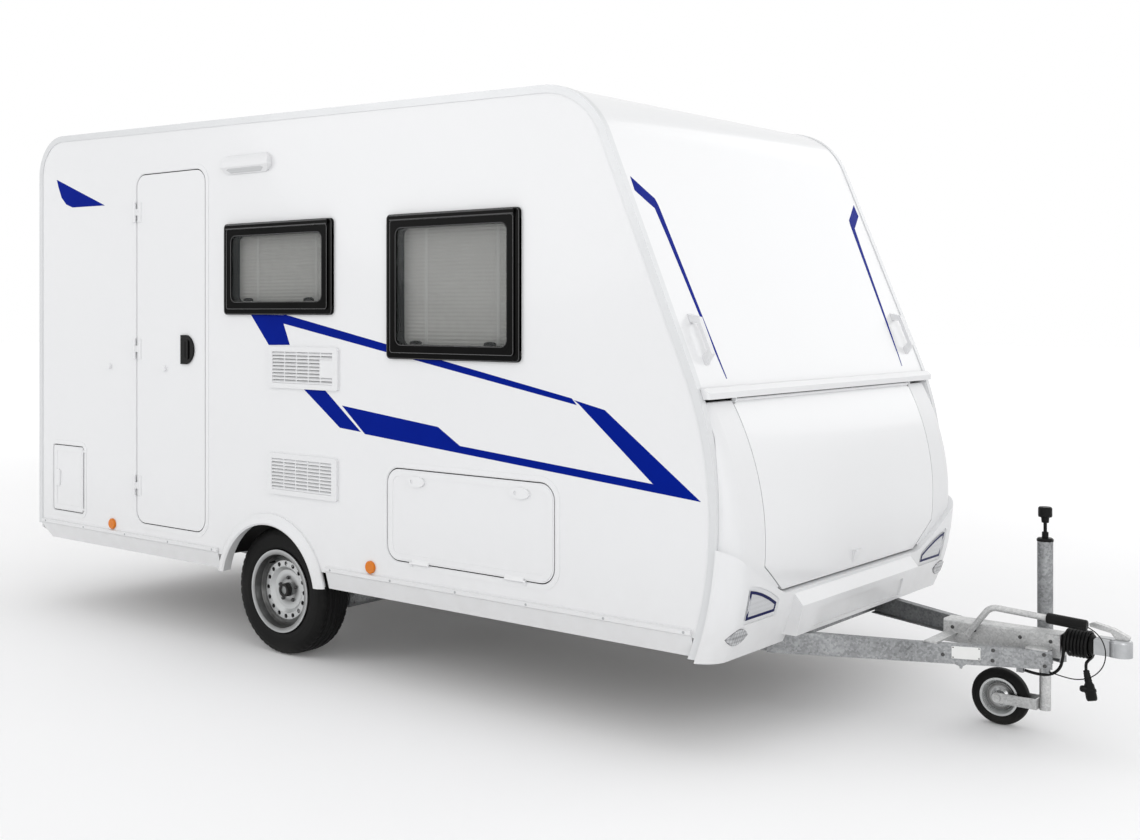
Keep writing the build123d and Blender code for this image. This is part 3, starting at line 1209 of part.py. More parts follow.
# Wing plates: rear X, front X, half width
WING_TABLE = [
    (HOUSING_FRONT_X - 103.0, HOUSING_FRONT_X - 23.0, 108.0),
    (HOUSING_REAR_X + 5.0, HOUSING_REAR_X + 55.0, 250.0),
]
with BuildPart() as overrun_housing:
    with BuildSketch(Plane.XY.offset(HOUSING_FOOT_Z)):
        with Locations(((HOUSING_REAR_X + HOUSING_FRONT_X) / 2, 0)):
            Rectangle(HOUSING_FRONT_X - HOUSING_REAR_X, 2 * HOUSING_HALF)
    extrude(amount=HOUSING_TOP_Z - HOUSING_FOOT_Z)
    fillet(overrun_housing.edges().filter_by(Axis.X).group_by(Axis.Z)[-1], 9.0)
    with BuildSketch(Plane.XY.offset(HOUSING_FOOT_Z)):
        with Locations(((HOUSING_REAR_X + HOUSING_FRONT_X) / 2, 0)):
            Rectangle(HOUSING_FRONT_X - HOUSING_REAR_X - 2 * HOUSING_T, 2 * (HOUSING_HALF - HOUSING_T))
    extrude(amount=HOUSING_TOP_Z - HOUSING_FOOT_Z - HOUSING_T, mode=Mode.SUBTRACT)
    with BuildSketch(Plane.YZ.offset(HOUSING_FRONT_X - 2 * HOUSING_T)):
        with Locations((0, DRAW_Z)):
            Circle(DRAW_R + FIT)
    extrude(amount=4 * HOUSING_T, mode=Mode.SUBTRACT)
    for rear, front, half in WING_TABLE:
        for side in (-1, 1):
            with BuildSketch(Plane.XY.offset(ARM_TOP_Z + 0.5)):
                with Locations(((rear + front) / 2, side * (half + HOUSING_HALF - 2.0) / 2)):
                    Rectangle(front - rear, half - HOUSING_HALF + 2.0)
            extrude(amount=6.0)
overrun_housing.part.label = "overrun_housing"
export_step(overrun_housing.part, "parts/overrun_housing.step")

# Coupling head: a socket for a 50 mm ball on a shank, with the draw tube behind it
BALL_R = 25.15
HEAD_R = 42.0
BALL_X = HITCH_X - HEAD_R
BALL_Z = 396.0
HEAD_FOOT_Z = 372.0
HEAD_TOP_Z = 434.0
SHANK_X = HITCH_X - 124.0
with BuildPart() as coupling_head:
    with BuildSketch(Plane.XY.offset(HEAD_FOOT_Z)):
        with Locations((BALL_X, 0)):
            Circle(HEAD_R)
        with Locations(((SHANK_X + BALL_X) / 2, 0)):
            Rectangle(BALL_X - SHANK_X, 62.0)
    extrude(amount=HEAD_TOP_Z - HEAD_FOOT_Z)
    fillet(coupling_head.faces().sort_by(Axis.Z)[-1].edges(), 12.0)
    with BuildSketch(Plane.XY.offset(HEAD_FOOT_Z - 1.0)):
        with Locations((BALL_X, 0)):
            Circle(BALL_R)
    extrude(amount=BALL_Z - HEAD_FOOT_Z + 1.0, mode=Mode.SUBTRACT)
    with Locations((BALL_X, 0, BALL_Z)):
        Sphere(BALL_R, mode=Mode.SUBTRACT)
    with BuildSketch(Plane.YZ.offset(HOUSING_REAR_X + 60.0)):
        with Locations((0, DRAW_Z)):
            Circle(DRAW_R)
    extrude(amount=SHANK_X + 10.0 - HOUSING_REAR_X - 60.0)
coupling_head.part.label = "coupling_head"
export_step(coupling_head.part, "parts/coupling_head.step")

# Bellows round the draw tube
BELLOWS_R = 40.0
BELLOWS_FOLDS = 5
BELLOWS_REAR_X = HOUSING_FRONT_X + 1.0
BELLOWS_FRONT_X = SHANK_X - 1.0
fold = (BELLOWS_FRONT_X - BELLOWS_REAR_X) / BELLOWS_FOLDS
folds = []
for index in range(BELLOWS_FOLDS):
    folds.append((BELLOWS_REAR_X + index * fold, BELLOWS_R - 9.0))
    folds.append((BELLOWS_REAR_X + (index + 0.35) * fold, BELLOWS_R))
    folds.append((BELLOWS_REAR_X + (index + 0.65) * fold, BELLOWS_R))
folds.append((BELLOWS_FRONT_X, BELLOWS_R - 9.0))
with BuildPart() as draw_bellows:
    with BuildSketch(Plane.XZ):
        with BuildLine():
            Polyline(
                (BELLOWS_FRONT_X, DRAW_Z + DRAW_R + 1.0),
                (BELLOWS_REAR_X, DRAW_Z + DRAW_R + 1.0),
                *[(x, DRAW_Z + r) for x, r in folds],
                close=True,
            )
        make_face()
    revolve(axis=Axis((0, 0, DRAW_Z), (1, 0, 0)))
draw_bellows.part.label = "draw_bellows"
export_step(draw_bellows.part, "parts/draw_bellows.step")

# Coupling handle: a strap over the head with a finger loop
HANDLE_HALF = 14.0
STRAP = [
    (HITCH_X - 12.0, HEAD_TOP_Z + 0.5),
    (HITCH_X - 8.0, HEAD_TOP_Z + 12.0),
    (HITCH_X - 62.0, HEAD_TOP_Z + 36.0),
    (HITCH_X - 127.0, HEAD_TOP_Z + 50.0),
    (HITCH_X - 144.0, HEAD_TOP_Z + 44.0),
    (HITCH_X - 142.0, HEAD_TOP_Z + 34.0),
    (HITCH_X - 70.0, HEAD_TOP_Z + 20.0),
    (HITCH_X - 54.0, HEAD_TOP_Z + 0.5),
]
with BuildPart() as coupling_handle:
    with BuildSketch(Plane.XZ.offset(HANDLE_HALF)):
        with BuildLine():
            Polyline(*STRAP, close=True)
        make_face()
    extrude(amount=-2 * HANDLE_HALF)
coupling_handle.part.label = "coupling_handle"
export_step(coupling_handle.part, "parts/coupling_handle.step")

# Handbrake lever: a bent tube on a pin beside the housing, with a grip
LEVER_Y = -HOUSING_HALF - 18.0
LEVER_R = 12.0
GRIP_R = 20.0
LEVER = [
    (HOUSING_REAR_X + 87.0, 366.0),
    (HOUSING_REAR_X + 187.0, 500.0),
    (HOUSING_REAR_X + 392.0, 488.0),
]
lever_path_points = [(x, LEVER_Y, z) for x, z in LEVER]
with BuildPart() as brake_lever:
    with BuildLine() as lever_path:
        FilletPolyline(*lever_path_points, radius=50.0)
    with BuildSketch(Plane(origin=lever_path_points[0], z_dir=lever_path.line @ 0.02 - lever_path.line @ 0)):
        Circle(LEVER_R)
    sweep(path=lever_path.line)
    with BuildSketch(Plane.XZ.offset(HOUSING_HALF + 0.5)):
        with Locations(LEVER[0]):
            Circle(LEVER_R + 10.0)
    extrude(amount=2 * (-LEVER_Y - HOUSING_HALF) - 1.0)
brake_lever.part.label = "brake_lever"
export_step(brake_lever.part, "parts/brake_lever.step")

grip_dir = Vector(LEVER[2][0] - LEVER[1][0], 0, LEVER[2][1] - LEVER[1][1]).normalized()
grip_start = Vector(LEVER[2][0], LEVER_Y, LEVER[2][1]) + grip_dir * 0.5
with BuildPart() as brake_grip:
    with BuildSketch(Plane(origin=grip_start, z_dir=grip_dir)):
        Circle(GRIP_R)
    extrude(amount=142.0)
    fillet(brake_grip.edges(), 6.0)
brake_grip.part.label = "brake_grip"
export_step(brake_grip.part, "parts/brake_grip.step")

# Jockey wheel: clamp on the left arm, outer tube with a screw handle, swivelling fork, wheel
JOCKEY_X = HITCH_X - 355.0
JOCKEY_Y = 160.0
JOCKEY_R = 28.5
JOCKEY_TOP_Z = 735.0
JOCKEY_FOOT_Z = 268.0
INNER_R = 21.0
JOCKEY_WHEEL_R = 110.0
JOCKEY_TRAIL = 168.0
JOCKEY_W = 60.0
CLAMP_FOOT_Z = 306.0
CLAMP_TOP_Z = 368.0
with BuildPart() as jockey_tube:
    with BuildSketch(Plane.XY.offset(JOCKEY_FOOT_Z)):
        with Locations((JOCKEY_X, JOCKEY_Y)):
            Circle(JOCKEY_R)
            Circle(INNER_R + FIT, mode=Mode.SUBTRACT)
    extrude(amount=JOCKEY_TOP_Z - JOCKEY_FOOT_Z)
jockey_tube.part.label = "jockey_tube"
export_step(jockey_tube.part, "parts/jockey_tube.step")

jockey_post = Plane(origin=(JOCKEY_X, JOCKEY_Y, JOCKEY_TOP_Z), x_dir=(1, 0, 0), z_dir=(0, -1, 0))
KNOB = [
    (0.0, 0.5),
    (JOCKEY_R + 2.0, 0.5),
    (JOCKEY_R + 2.0, 8.0),
    (JOCKEY_R - 2.5, 13.0),
    (12.0, 14.0),
    (12.0, 35.0),
    (6.5, 38.0),
    (6.5, 70.0),
    (13.0, 72.0),
    (15.0, 91.0),
    (24.0, 94.0),
    (25.5, 98.0),
    (25.5, 127.0),
    (22.0, 132.0),
    (0.0, 132.0),
]
with BuildPart() as jockey_handle:
    # cap, nut, screw and turning knob
    with BuildSketch(jockey_post):
        with BuildLine():
            Polyline(*KNOB, close=True)
        make_face()
    revolve(axis=Axis((JOCKEY_X, JOCKEY_Y, 0), (0, 0, 1)))
jockey_handle.part.label = "jockey_handle"
export_step(jockey_handle.part, "parts/jockey_handle.step")

arm_out_y = ARM_FRONT_Y + (ARM_FRONT_X - JOCKEY_X) * arm_dy / arm_dx
with BuildPart() as jockey_clamp:
    with BuildSketch(Plane.XY.offset(CLAMP_FOOT_Z)):
        with Locations((JOCKEY_X, JOCKEY_Y)):
            Circle(JOCKEY_R + 9.0)
        with BuildLine():
            Polyline(
                (JOCKEY_X - 36.0, arm_out_y + 36.0 * arm_dy / arm_dx + 0.5),
                (JOCKEY_X + 36.0, arm_out_y - 36.0 * arm_dy / arm_dx + 0.5),
                (JOCKEY_X + 36.0, JOCKEY_Y),
                (JOCKEY_X - 36.0, JOCKEY_Y),
                close=True,
            )
        make_face()
        with BuildLine():
            Polyline(
                (JOCKEY_X - 90.0, arm_out_y + 90.0 * arm_dy / arm_dx - 60.0),
                (JOCKEY_X + 90.0, arm_out_y - 90.0 * arm_dy / arm_dx - 60.0),
                (JOCKEY_X + 90.0, arm_out_y - 90.0 * arm_dy / arm_dx + 0.5),
                (JOCKEY_X - 90.0, arm_out_y + 90.0 * arm_dy / arm_dx + 0.5),
                close=True,
            )
        make_face(mode=Mode.SUBTRACT)
        with Locations((JOCKEY_X, JOCKEY_Y)):
            Circle(JOCKEY_R + 0.3, mode=Mode.SUBTRACT)
    extrude(amount=CLAMP_TOP_Z - CLAMP_FOOT_Z)
    with BuildSketch(Plane.XZ.offset(-JOCKEY_Y - JOCKEY_R - 5.0)):
        with Locations((JOCKEY_X, (CLAMP_FOOT_Z + CLAMP_TOP_Z) / 2)):
            Circle(6.0)
    extrude(amount=-40.0)
    with BuildSketch(Plane.XZ.offset(-JOCKEY_Y - JOCKEY_R - 40.0)):
        with Locations((JOCKEY_X, (CLAMP_FOOT_Z + CLAMP_TOP_Z) / 2)):
            RectangleRounded(90.0, 12.0, 5.9)
    extrude(amount=-12.0)
jockey_clamp.part.label = "jockey_clamp"
export_step(jockey_clamp.part, "parts/jockey_clamp.step")

FORK_T = 6.0
FORK_IN = JOCKEY_W / 2 + 7.0
FORK_RISE = 20.0            # half the height of a cheek
FORK_BITE = 2.0             # the fork's web is let into the tube by this much
INNER_T = 3.5
INNER_FOOT_Z = JOCKEY_WHEEL_R - FORK_RISE - 4.0
INNER_TOP_Z = JOCKEY_TOP_Z - 200.0
AXLE_R = 8.0
AXLE_HEAD_R = 13.0
AXLE_HEAD = 8.0
web_front_x = JOCKEY_X - INNER_R + FORK_BITE
axle_x = JOCKEY_X - JOCKEY_TRAIL
with BuildPart() as jockey_fork:
    # inner tube, down to just below the axle
    with BuildSketch(Plane.XY.offset(INNER_FOOT_Z)):
        with Locations((JOCKEY_X, JOCKEY_Y)):
            Circle(INNER_R)
            Circle(INNER_R - INNER_T, mode=Mode.SUBTRACT)
    extrude(amount=INNER_TOP_Z - INNER_FOOT_Z)
    # fork: a plate bent to a U behind the tube, its ends rounded at the axle
    with BuildSketch(Plane.YZ.offset(web_front_x)):
        with Locations((JOCKEY_Y, JOCKEY_WHEEL_R)):
            Rectangle(2 * (FORK_IN + FORK_T), 2 * FORK_RISE)
    extrude(amount=-FORK_T)
    for start in (JOCKEY_Y - FORK_IN, JOCKEY_Y + FORK_IN + FORK_T):
        with BuildSketch(Plane.XZ.offset(-start)):
            with Locations((axle_x, JOCKEY_WHEEL_R)):
                Circle(FORK_RISE)
            with Locations(((axle_x + web_front_x) / 2, JOCKEY_WHEEL_R)):
                Rectangle(web_front_x - axle_x, 2 * FORK_RISE)
        extrude(amount=FORK_T)
    with BuildSketch(Plane.XZ.offset(-JOCKEY_Y - FORK_IN - FORK_T)):
        with Locations((axle_x, JOCKEY_WHEEL_R)):
            Circle(AXLE_R)
    extrude(amount=2 * (FORK_IN + FORK_T))
    for side in (-1, 1):
        with BuildSketch(Plane.XZ.offset(-JOCKEY_Y - side * (FORK_IN + FORK_T))):
            with Locations((axle_x, JOCKEY_WHEEL_R)):
                Circle(AXLE_HEAD_R)
        extrude(amount=-side * AXLE_HEAD)
jockey_fork.part.label = "jockey_fork"
export_step(jockey_fork.part, "parts/jockey_fork.step")

jockey_axis = Axis((JOCKEY_X - JOCKEY_TRAIL, JOCKEY_Y, JOCKEY_WHEEL_R), (0, 1, 0))
jockey_plane = Plane(
    origin=(JOCKEY_X - JOCKEY_TRAIL, JOCKEY_Y, JOCKEY_WHEEL_R), x_dir=(0, 1, 0), z_dir=(1, 0, 0)
)
JOCKEY_SEAT_R = 74.0
JOCKEY_HUB = FORK_IN - 3.0      # half the length of the hub
JOCKEY_SEAT = JOCKEY_W / 2 - 6.0
with BuildPart() as jockey_rim:
    with BuildSketch(jockey_plane):
        with BuildLine():
            Polyline(
                (-JOCKEY_HUB, AXLE_R + RUN),
                (JOCKEY_HUB, AXLE_R + RUN),
                (JOCKEY_HUB, 20.0),
                (12.0, 24.0),
                (6.0, 34.0),
                (6.0, JOCKEY_SEAT_R - 22.0),
                (JOCKEY_SEAT, JOCKEY_SEAT_R - 8.0),
                (JOCKEY_SEAT, JOCKEY_SEAT_R),
                (-JOCKEY_SEAT, JOCKEY_SEAT_R),
                (-JOCKEY_SEAT, JOCKEY_SEAT_R - 8.0),
                (-6.0, JOCKEY_SEAT_R - 22.0),
                (-6.0, 34.0),
                (-12.0, 24.0),
                (-JOCKEY_HUB, 20.0),
                close=True,
            )
        make_face()
    revolve(axis=jockey_axis)
jockey_rim.part.label = "jockey_rim"
export_step(jockey_rim.part, "parts/jockey_rim.step")

with BuildPart() as jockey_tyre:
    with BuildSketch(jockey_plane):
        with BuildLine():
            Polyline(
                (-JOCKEY_SEAT, JOCKEY_SEAT_R + 0.2),
                (JOCKEY_SEAT, JOCKEY_SEAT_R + 0.2),
                (JOCKEY_W / 2, JOCKEY_WHEEL_R - 24.0),
                (JOCKEY_W / 2 - 4.0, JOCKEY_WHEEL_R - 8.0),
                (JOCKEY_W / 2 - 14.0, JOCKEY_WHEEL_R),
                (14.0 - JOCKEY_W / 2, JOCKEY_WHEEL_R),
                (4.0 - JOCKEY_W / 2, JOCKEY_WHEEL_R - 8.0),
                (-JOCKEY_W / 2, JOCKEY_WHEEL_R - 24.0),
                close=True,
            )
        make_face()
    revolve(axis=jockey_axis)
jockey_tyre.part.label = "jockey_tyre"
export_step(jockey_tyre.part, "parts/jockey_tyre.step")

# Corner steadies, folded up under the floor
STEADY_TABLE = [(REAR_X + 243.0, 1), (BODY_FRONT_X - 279.0, -1)]    # X of the pivot, way it folds
STEADY_Y = 640.0
with BuildPart() as corner_steadies:
    for x, way in STEADY_TABLE:
        with BuildSketch(Plane.XZ.offset(STEADY_Y + 28.0)):
            with BuildLine():
                Polyline(
                    (x, WALL_FOOT_Z - 0.2),
                    (x, WALL_FOOT_Z - 52.0),
                    (x + way * 440.0, WALL_FOOT_Z - 60.0),
                    (x + way * 440.0, WALL_FOOT_Z - 30.0),
                    (x + way * 90.0, WALL_FOOT_Z - 14.0),
                    (x + way * 90.0, WALL_FOOT_Z - 0.2),
                    close=True,
                )
            make_face()
        extrude(amount=-56.0)
        with BuildSketch(Plane.XZ.offset(STEADY_Y + 55.0)):
            with Locations((x + way * 452.0, WALL_FOOT_Z - 46.0)):
                Rectangle(26.0, 40.0)
        extrude(amount=-110.0)
    mirror(about=Plane.XZ)
corner_steadies.part.label = "corner_steadies"
export_step(corner_steadies.part, "parts/corner_steadies.step")

# Road wheels: rim with its disc, tyre, and the brake drum that carries them
BORE_R = SPINDLE_R + RUN
SEAT_R = 178.5              # tyre seat on the rim
FLANGE_R = SEAT_R + 15.5
WELL_R = SEAT_R - 18.5
RIM = [
    (DISC_Y - 119.0, SEAT_R - 0.5),
    (DISC_Y - 119.0, FLANGE_R),
    (DISC_Y - 113.0, FLANGE_R),
    (DISC_Y - 110.0, SEAT_R),
    (DISC_Y - 84.0, SEAT_R),
    (DISC_Y - 70.0, WELL_R),
    (DISC_Y - 20.0, WELL_R),
    (DISC_Y + 18.0, SEAT_R),
    (DISC_Y + 58.0, SEAT_R),
    (DISC_Y + 61.0, FLANGE_R),
    (DISC_Y + 67.0, FLANGE_R),
    (DISC_Y + 66.0, SEAT_R - 6.5),
    (DISC_Y + 26.0, SEAT_R - 8.5),
    (DISC_Y + 4.0, WELL_R - 2.0),
    (DISC_Y + 22.0, WELL_R - 22.0),
    (DISC_Y + 22.0, 110.0),
    (DISC_Y + 6.0, 92.0),
    (DISC_Y + 6.0, 34.0),
    (DISC_Y, 34.0),
    (DISC_Y, 94.0),
    (DISC_Y + 16.0, 113.0),
    (DISC_Y + 16.0, WELL_R - 26.0),
    (DISC_Y - 4.0, WELL_R - 6.0),
    (DISC_Y - 66.0, WELL_R - 6.0),
    (DISC_Y - 86.0, SEAT_R - 8.5),
]
VENTS = 16
VENT_R = 10.5
VENT_PITCH_R = 124.0
TYRE = [
    (-80.0, SEAT_R + FIT),
    (80.0, SEAT_R + FIT),
    (83.0, FLANGE_R + 3.0),
    (88.0, FLANGE_R + 11.0),
    (TYRE_W / 2, (FLANGE_R + WHEEL_R) / 2 - 3.0),
    (84.0, WHEEL_R - 20.0),
    (70.0, WHEEL_R - 4.0),
    (40.0, WHEEL_R),
    (-40.0, WHEEL_R),
    (-70.0, WHEEL_R - 4.0),
    (-84.0, WHEEL_R - 20.0),
    (-TYRE_W / 2, (FLANGE_R + WHEEL_R) / 2 - 3.0),
    (-88.0, FLANGE_R + 11.0),
    (-83.0, FLANGE_R + 3.0),
]
DRUM = [
    (DRUM_IN_Y, BORE_R),
    (DISC_Y + 40.0, BORE_R),
    (DISC_Y + 40.0, 30.0),
    (DISC_Y - 0.5, 33.0),
    (DISC_Y - 0.5, 86.0),
    (DISC_Y - 20.0, 90.0),
    (DRUM_IN_Y + 40.0, 112.0),
    (DRUM_IN_Y, 116.0),
    (DRUM_IN_Y, 104.0),
    (DRUM_IN_Y + 50.0, 100.0),
    (DRUM_IN_Y + 50.0, 40.0),
    (DRUM_IN_Y, 40.0),
]
for side, side_name in ((-1, "right"), (1, "left")):
    side_plane = Plane(origin=(WHEEL_X, 0, WHEEL_R), x_dir=(0, side, 0), z_dir=(side, 0, 0))
    with BuildPart() as rim:
        with BuildSketch(side_plane):
            with BuildLine():
                Polyline(*RIM, close=True)
            make_face()
        revolve(axis=wheel_axis)
        disc_centre = (WHEEL_X, side * (DISC_Y - 8.0), WHEEL_R)
        with BuildSketch(Plane(origin=disc_centre, x_dir=(1, 0, 0), z_dir=(0, side, 0))):
            with PolarLocations(VENT_PITCH_R, VENTS):
                Circle(VENT_R)
        extrude(amount=40.0, mode=Mode.SUBTRACT)
    rim.part.label = "rim_" + side_name
    export_step(rim.part, "parts/rim_" + side_name + ".step")

    with BuildPart() as tyre:
        with BuildSketch(side_plane):
            with BuildLine():
                Polyline(*[(WHEEL_Y + y, r) for y, r in TYRE], close=True)
            make_face()
        revolve(axis=wheel_axis)
    tyre.part.label = "tyre_" + side_name
    export_step(tyre.part, "parts/tyre_" + side_name + ".step")

    with BuildPart() as drum:
        with BuildSketch(side_plane):
            with BuildLine():
                Polyline(*DRUM, close=True)
            make_face()
        revolve(axis=wheel_axis)
    drum.part.label = "drum_" + side_name
    export_step(drum.part, "parts/drum_" + side_name + ".step")

# Entrance door: a panel in the doorway with its knuckles, and a handle
with BuildPart() as door_panel:
    with BuildSketch(Plane.XZ.offset(HALF_WIDTH)):
        with Locations(DOOR[:2]):
            RectangleRounded(DOOR[2] - 2 * GAP, DOOR[3] - 2 * GAP, DOOR[4] - GAP)
    extrude(amount=-WALL)
    for hinge_z in HINGE_ZS:
        with BuildSketch(Plane.XZ.offset(HALF_WIDTH)):
            with Locations((DOOR_HINGE_X + 24.0, hinge_z)):
                Rectangle(30.0, 3 * KNUCKLE)
        extrude(amount=LEAF_T)
        with BuildSketch(Plane.XY.offset(hinge_z - KNUCKLE / 2)):
            with Locations((DOOR_HINGE_X, DOOR_HINGE_Y)):
                Circle(HINGE_R)
            with BuildLine():
                Polyline(
                    (DOOR_HINGE_X + 18.0, -HALF_WIDTH - LEAF_T),
                    (DOOR_HINGE_X + 10.0, -HALF_WIDTH - LEAF_T),
                    (DOOR_HINGE_X, DOOR_HINGE_Y + 4.0),
                    (DOOR_HINGE_X + 5.0, DOOR_HINGE_Y - 2.0),
                    close=True,
                )
            make_face()
        extrude(amount=KNUCKLE)
    with BuildSketch(Plane.XZ.offset(HALF_WIDTH)):
        with Locations((DOOR_HINGE_X + CATCH_REACH, CATCH_Z)):
            RectangleRounded(36.0, 24.0, 8.0)
    extrude(amount=CATCH_OUT)
door_panel.part.label = "door_panel"
export_step(door_panel.part, "parts/door_panel.step")

LATCH_PLATE_X = DOOR[0] + DOOR[2] / 2 - 136.0       # where the plate's round front begins
LATCH_PLATE_Z = DOOR[1] + 3.0
LATCH_PLATE_RISE = 72.5
with BuildPart() as door_handle:
    with BuildSketch(Plane.XZ.offset(HALF_WIDTH + 0.2)):
        with BuildLine():
            Polyline(
                (LATCH_PLATE_X, LATCH_PLATE_Z + LATCH_PLATE_RISE),
                (LATCH_PLATE_X - 48.0, LATCH_PLATE_Z + LATCH_PLATE_RISE),
                (LATCH_PLATE_X - 48.0, LATCH_PLATE_Z - LATCH_PLATE_RISE),
                (LATCH_PLATE_X, LATCH_PLATE_Z - LATCH_PLATE_RISE),
            )
            ThreePointArc(
                (LATCH_PLATE_X, LATCH_PLATE_Z - LATCH_PLATE_RISE),
                (LATCH_PLATE_X + 52.0, LATCH_PLATE_Z),
                (LATCH_PLATE_X, LATCH_PLATE_Z + LATCH_PLATE_RISE),
            )
        make_face()
    extrude(amount=10.0)
    with BuildSketch(Plane.XZ.offset(HALF_WIDTH + 4.0)):
        with Locations((LATCH_PLATE_X + 7.0, LATCH_PLATE_Z)):
            RectangleRounded(40.0, 96.0, 15.0)
    extrude(amount=10.0, mode=Mode.SUBTRACT)
    with BuildSketch(Plane.XZ.offset(HALF_WIDTH + 3.0)):
        with Locations((LATCH_PLATE_X + 3.0, LATCH_PLATE_Z)):
            RectangleRounded(18.0, 100.0, 6.0)
    extrude(amount=9.0)
door_handle.part.label = "door_handle"
export_step(door_handle.part, "parts/door_handle.step")

# Side hatch, hinged along its foot, with two oval locks
HATCH_LOCK_Z = HATCH[1] + HATCH[3] / 2 - 52.0
HATCH_LOCK_X = 280.0        # either side of the middle
with BuildPart() as side_hatch:
    with BuildSketch(Plane.XZ.offset(HALF_WIDTH)):
        with Locations(HATCH[:2]):
            RectangleRounded(HATCH[2] - 2 * GAP, HATCH[3] - 2 * GAP, HATCH[4] - GAP)
    extrude(amount=-WALL)
    with BuildSketch(Plane.XZ.offset(HALF_WIDTH)):
        leaf_frame(*HATCH)
    extrude(amount=FRAME_T)
    for side in (-1, 1):
        with BuildSketch(Plane.YZ.offset(HATCH[0] + side * (HATCH_BARREL_HALF - EYE))):
            with Locations((HATCH_AXIS_Y, HATCH_AXIS_Z)):
                Circle(BARREL_PIN_R)
        extrude(amount=side * 2 * EYE)
        with BuildSketch(Plane.YZ.offset(HATCH[0] + side * (HATCH_BARREL_HALF - HATCH_HINGE))):
            with Locations((HATCH_AXIS_Y, HATCH_AXIS_Z)):
                Circle(BARREL_R)
            with BuildLine():
                Polyline(
                    (-HALF_WIDTH + 0.5, HATCH_AXIS_Z + 6.0),
                    (-HALF_WIDTH + 0.5, HATCH_AXIS_Z + 20.0),
                    (HATCH_AXIS_Y - 4.0, HATCH_AXIS_Z + 3.0),
                    (HATCH_AXIS_Y, HATCH_AXIS_Z),
                    close=True,
                )
            make_face()
        extrude(amount=side * HATCH_HINGE)
    # locks: an oval plate with a round key hole
    with BuildSketch(Plane.XZ.offset(HALF_WIDTH)):
        with Locations((HATCH[0] - HATCH_LOCK_X, HATCH_LOCK_Z), (HATCH[0] + HATCH_LOCK_X, HATCH_LOCK_Z)):
            Ellipse(50.0, 23.0)
    extrude(amount=9.0)
    with BuildSketch(Plane.XZ.offset(HALF_WIDTH + 5.0)):
        with Locations(
            (HATCH[0] - HATCH_LOCK_X - 20.0, HATCH_LOCK_Z), (HATCH[0] + HATCH_LOCK_X - 20.0, HATCH_LOCK_Z)
        ):
            Circle(8.0)
    extrude(amount=10.0, mode=Mode.SUBTRACT)
side_hatch.part.label = "side_hatch"
export_step(side_hatch.part, "parts/side_hatch.step")

# Cassette hatch, hinged at its front edge, with a lock plate
with BuildPart() as cassette_hatch:
    with BuildSketch(Plane.XZ.offset(HALF_WIDTH)):
        with Locations(CASSETTE[:2]):
            RectangleRounded(CASSETTE[2] - 2 * GAP, CASSETTE[3] - 2 * GAP, CASSETTE[4] - GAP)
    extrude(amount=-WALL)
    with BuildSketch(Plane.XY.offset(CASSETTE[1] - CASSETTE_BARREL_HALF - EYE)):
        with Locations((CASSETTE_AXIS_X, CASSETTE_AXIS_Y)):
            Circle(BARREL_PIN_R)
    extrude(amount=2 * (CASSETTE_BARREL_HALF + EYE))
    with BuildSketch(Plane.XY.offset(CASSETTE[1] - CASSETTE_BARREL_HALF)):
        with Locations((CASSETTE_AXIS_X, CASSETTE_AXIS_Y)):
            Circle(BARREL_R)
        with BuildLine():
            Polyline(
                (CASSETTE_AXIS_X - 6.0, -HALF_WIDTH + 0.5),
                (CASSETTE_AXIS_X - 20.0, -HALF_WIDTH + 0.5),
                (CASSETTE_AXIS_X - 3.0, CASSETTE_AXIS_Y - 4.0),
                (CASSETTE_AXIS_X, CASSETTE_AXIS_Y),
                close=True,
            )
        make_face()
    extrude(amount=2 * CASSETTE_BARREL_HALF)
    with BuildSketch(Plane.XZ.offset(HALF_WIDTH)):
        leaf_frame(*CASSETTE)
    extrude(amount=FRAME_T)
    with BuildSketch(Plane.XZ.offset(HALF_WIDTH)):
        with Locations((CASSETTE[0] - CASSETTE[2] / 2 + 45.0, CASSETTE[1])):
            RectangleRounded(48.0, 90.0, 10.0)
    extrude(amount=8.0)
cassette_hatch.part.label = "cassette_hatch"
export_step(cassette_hatch.part, "parts/cassette_hatch.step")


# Connecting lead: a run from the gland up to a coil wound on the bellows, a tail and its plug
LEAD_R = 5.5
LEAD_RUN = [
    (2366.9, -104.0, 292.0),
    (2405.0, -90.0, 280.0),
    (2450.0, -62.0, 280.0),
    (2478.0, -54.0, 308.0),
    (2486.0, -53.0, 345.0),
    (2488.0, -47.6, 367.6),
]
LEAD_TAIL = [(2560.0, -47.2, 367.4), (2562.0, -55.0, 345.0), (2569.0, -60.0, 318.0)]
COIL_REAR_X = 2481.0
COIL_FRONT_X = 2579.0
COIL_IN_R = BELLOWS_R + FIT
COIL_OUT_R = COIL_IN_R + 2 * LEAD_R + 1.0


def corner_radii(points):
    """Radius at each inner point of a route: 0.45 of the shorter run over the tangent of half the turn."""
    radii = []
    for before, here, after in zip(points, points[1:], points[2:]):
        run_in = Vector(*here) - Vector(*before)
        run_out = Vector(*after) - Vector(*here)
        turn = radians(run_in.get_angle(run_out))
        radii.append(round(0.45 * min(run_in.length, run_out.length) / tan(turn / 2), 1))
    return radii


print("lead run radii", corner_radii(LEAD_RUN), "tail", corner_radii(LEAD_TAIL))
with BuildPart() as lead_run:
    for points in (LEAD_RUN, LEAD_TAIL):
        with BuildLine() as lead_path:
            FilletPolyline(*points, radius=corner_radii(points))
        with BuildSketch(Plane(origin=points[0], z_dir=Vector(*points[1]) - Vector(*points[0]))):
            Circle(LEAD_R)
        sweep(path=lead_path.line)
lead_run.part.label = "lead_run"
export_step(lead_run.part, "parts/lead_run.step")

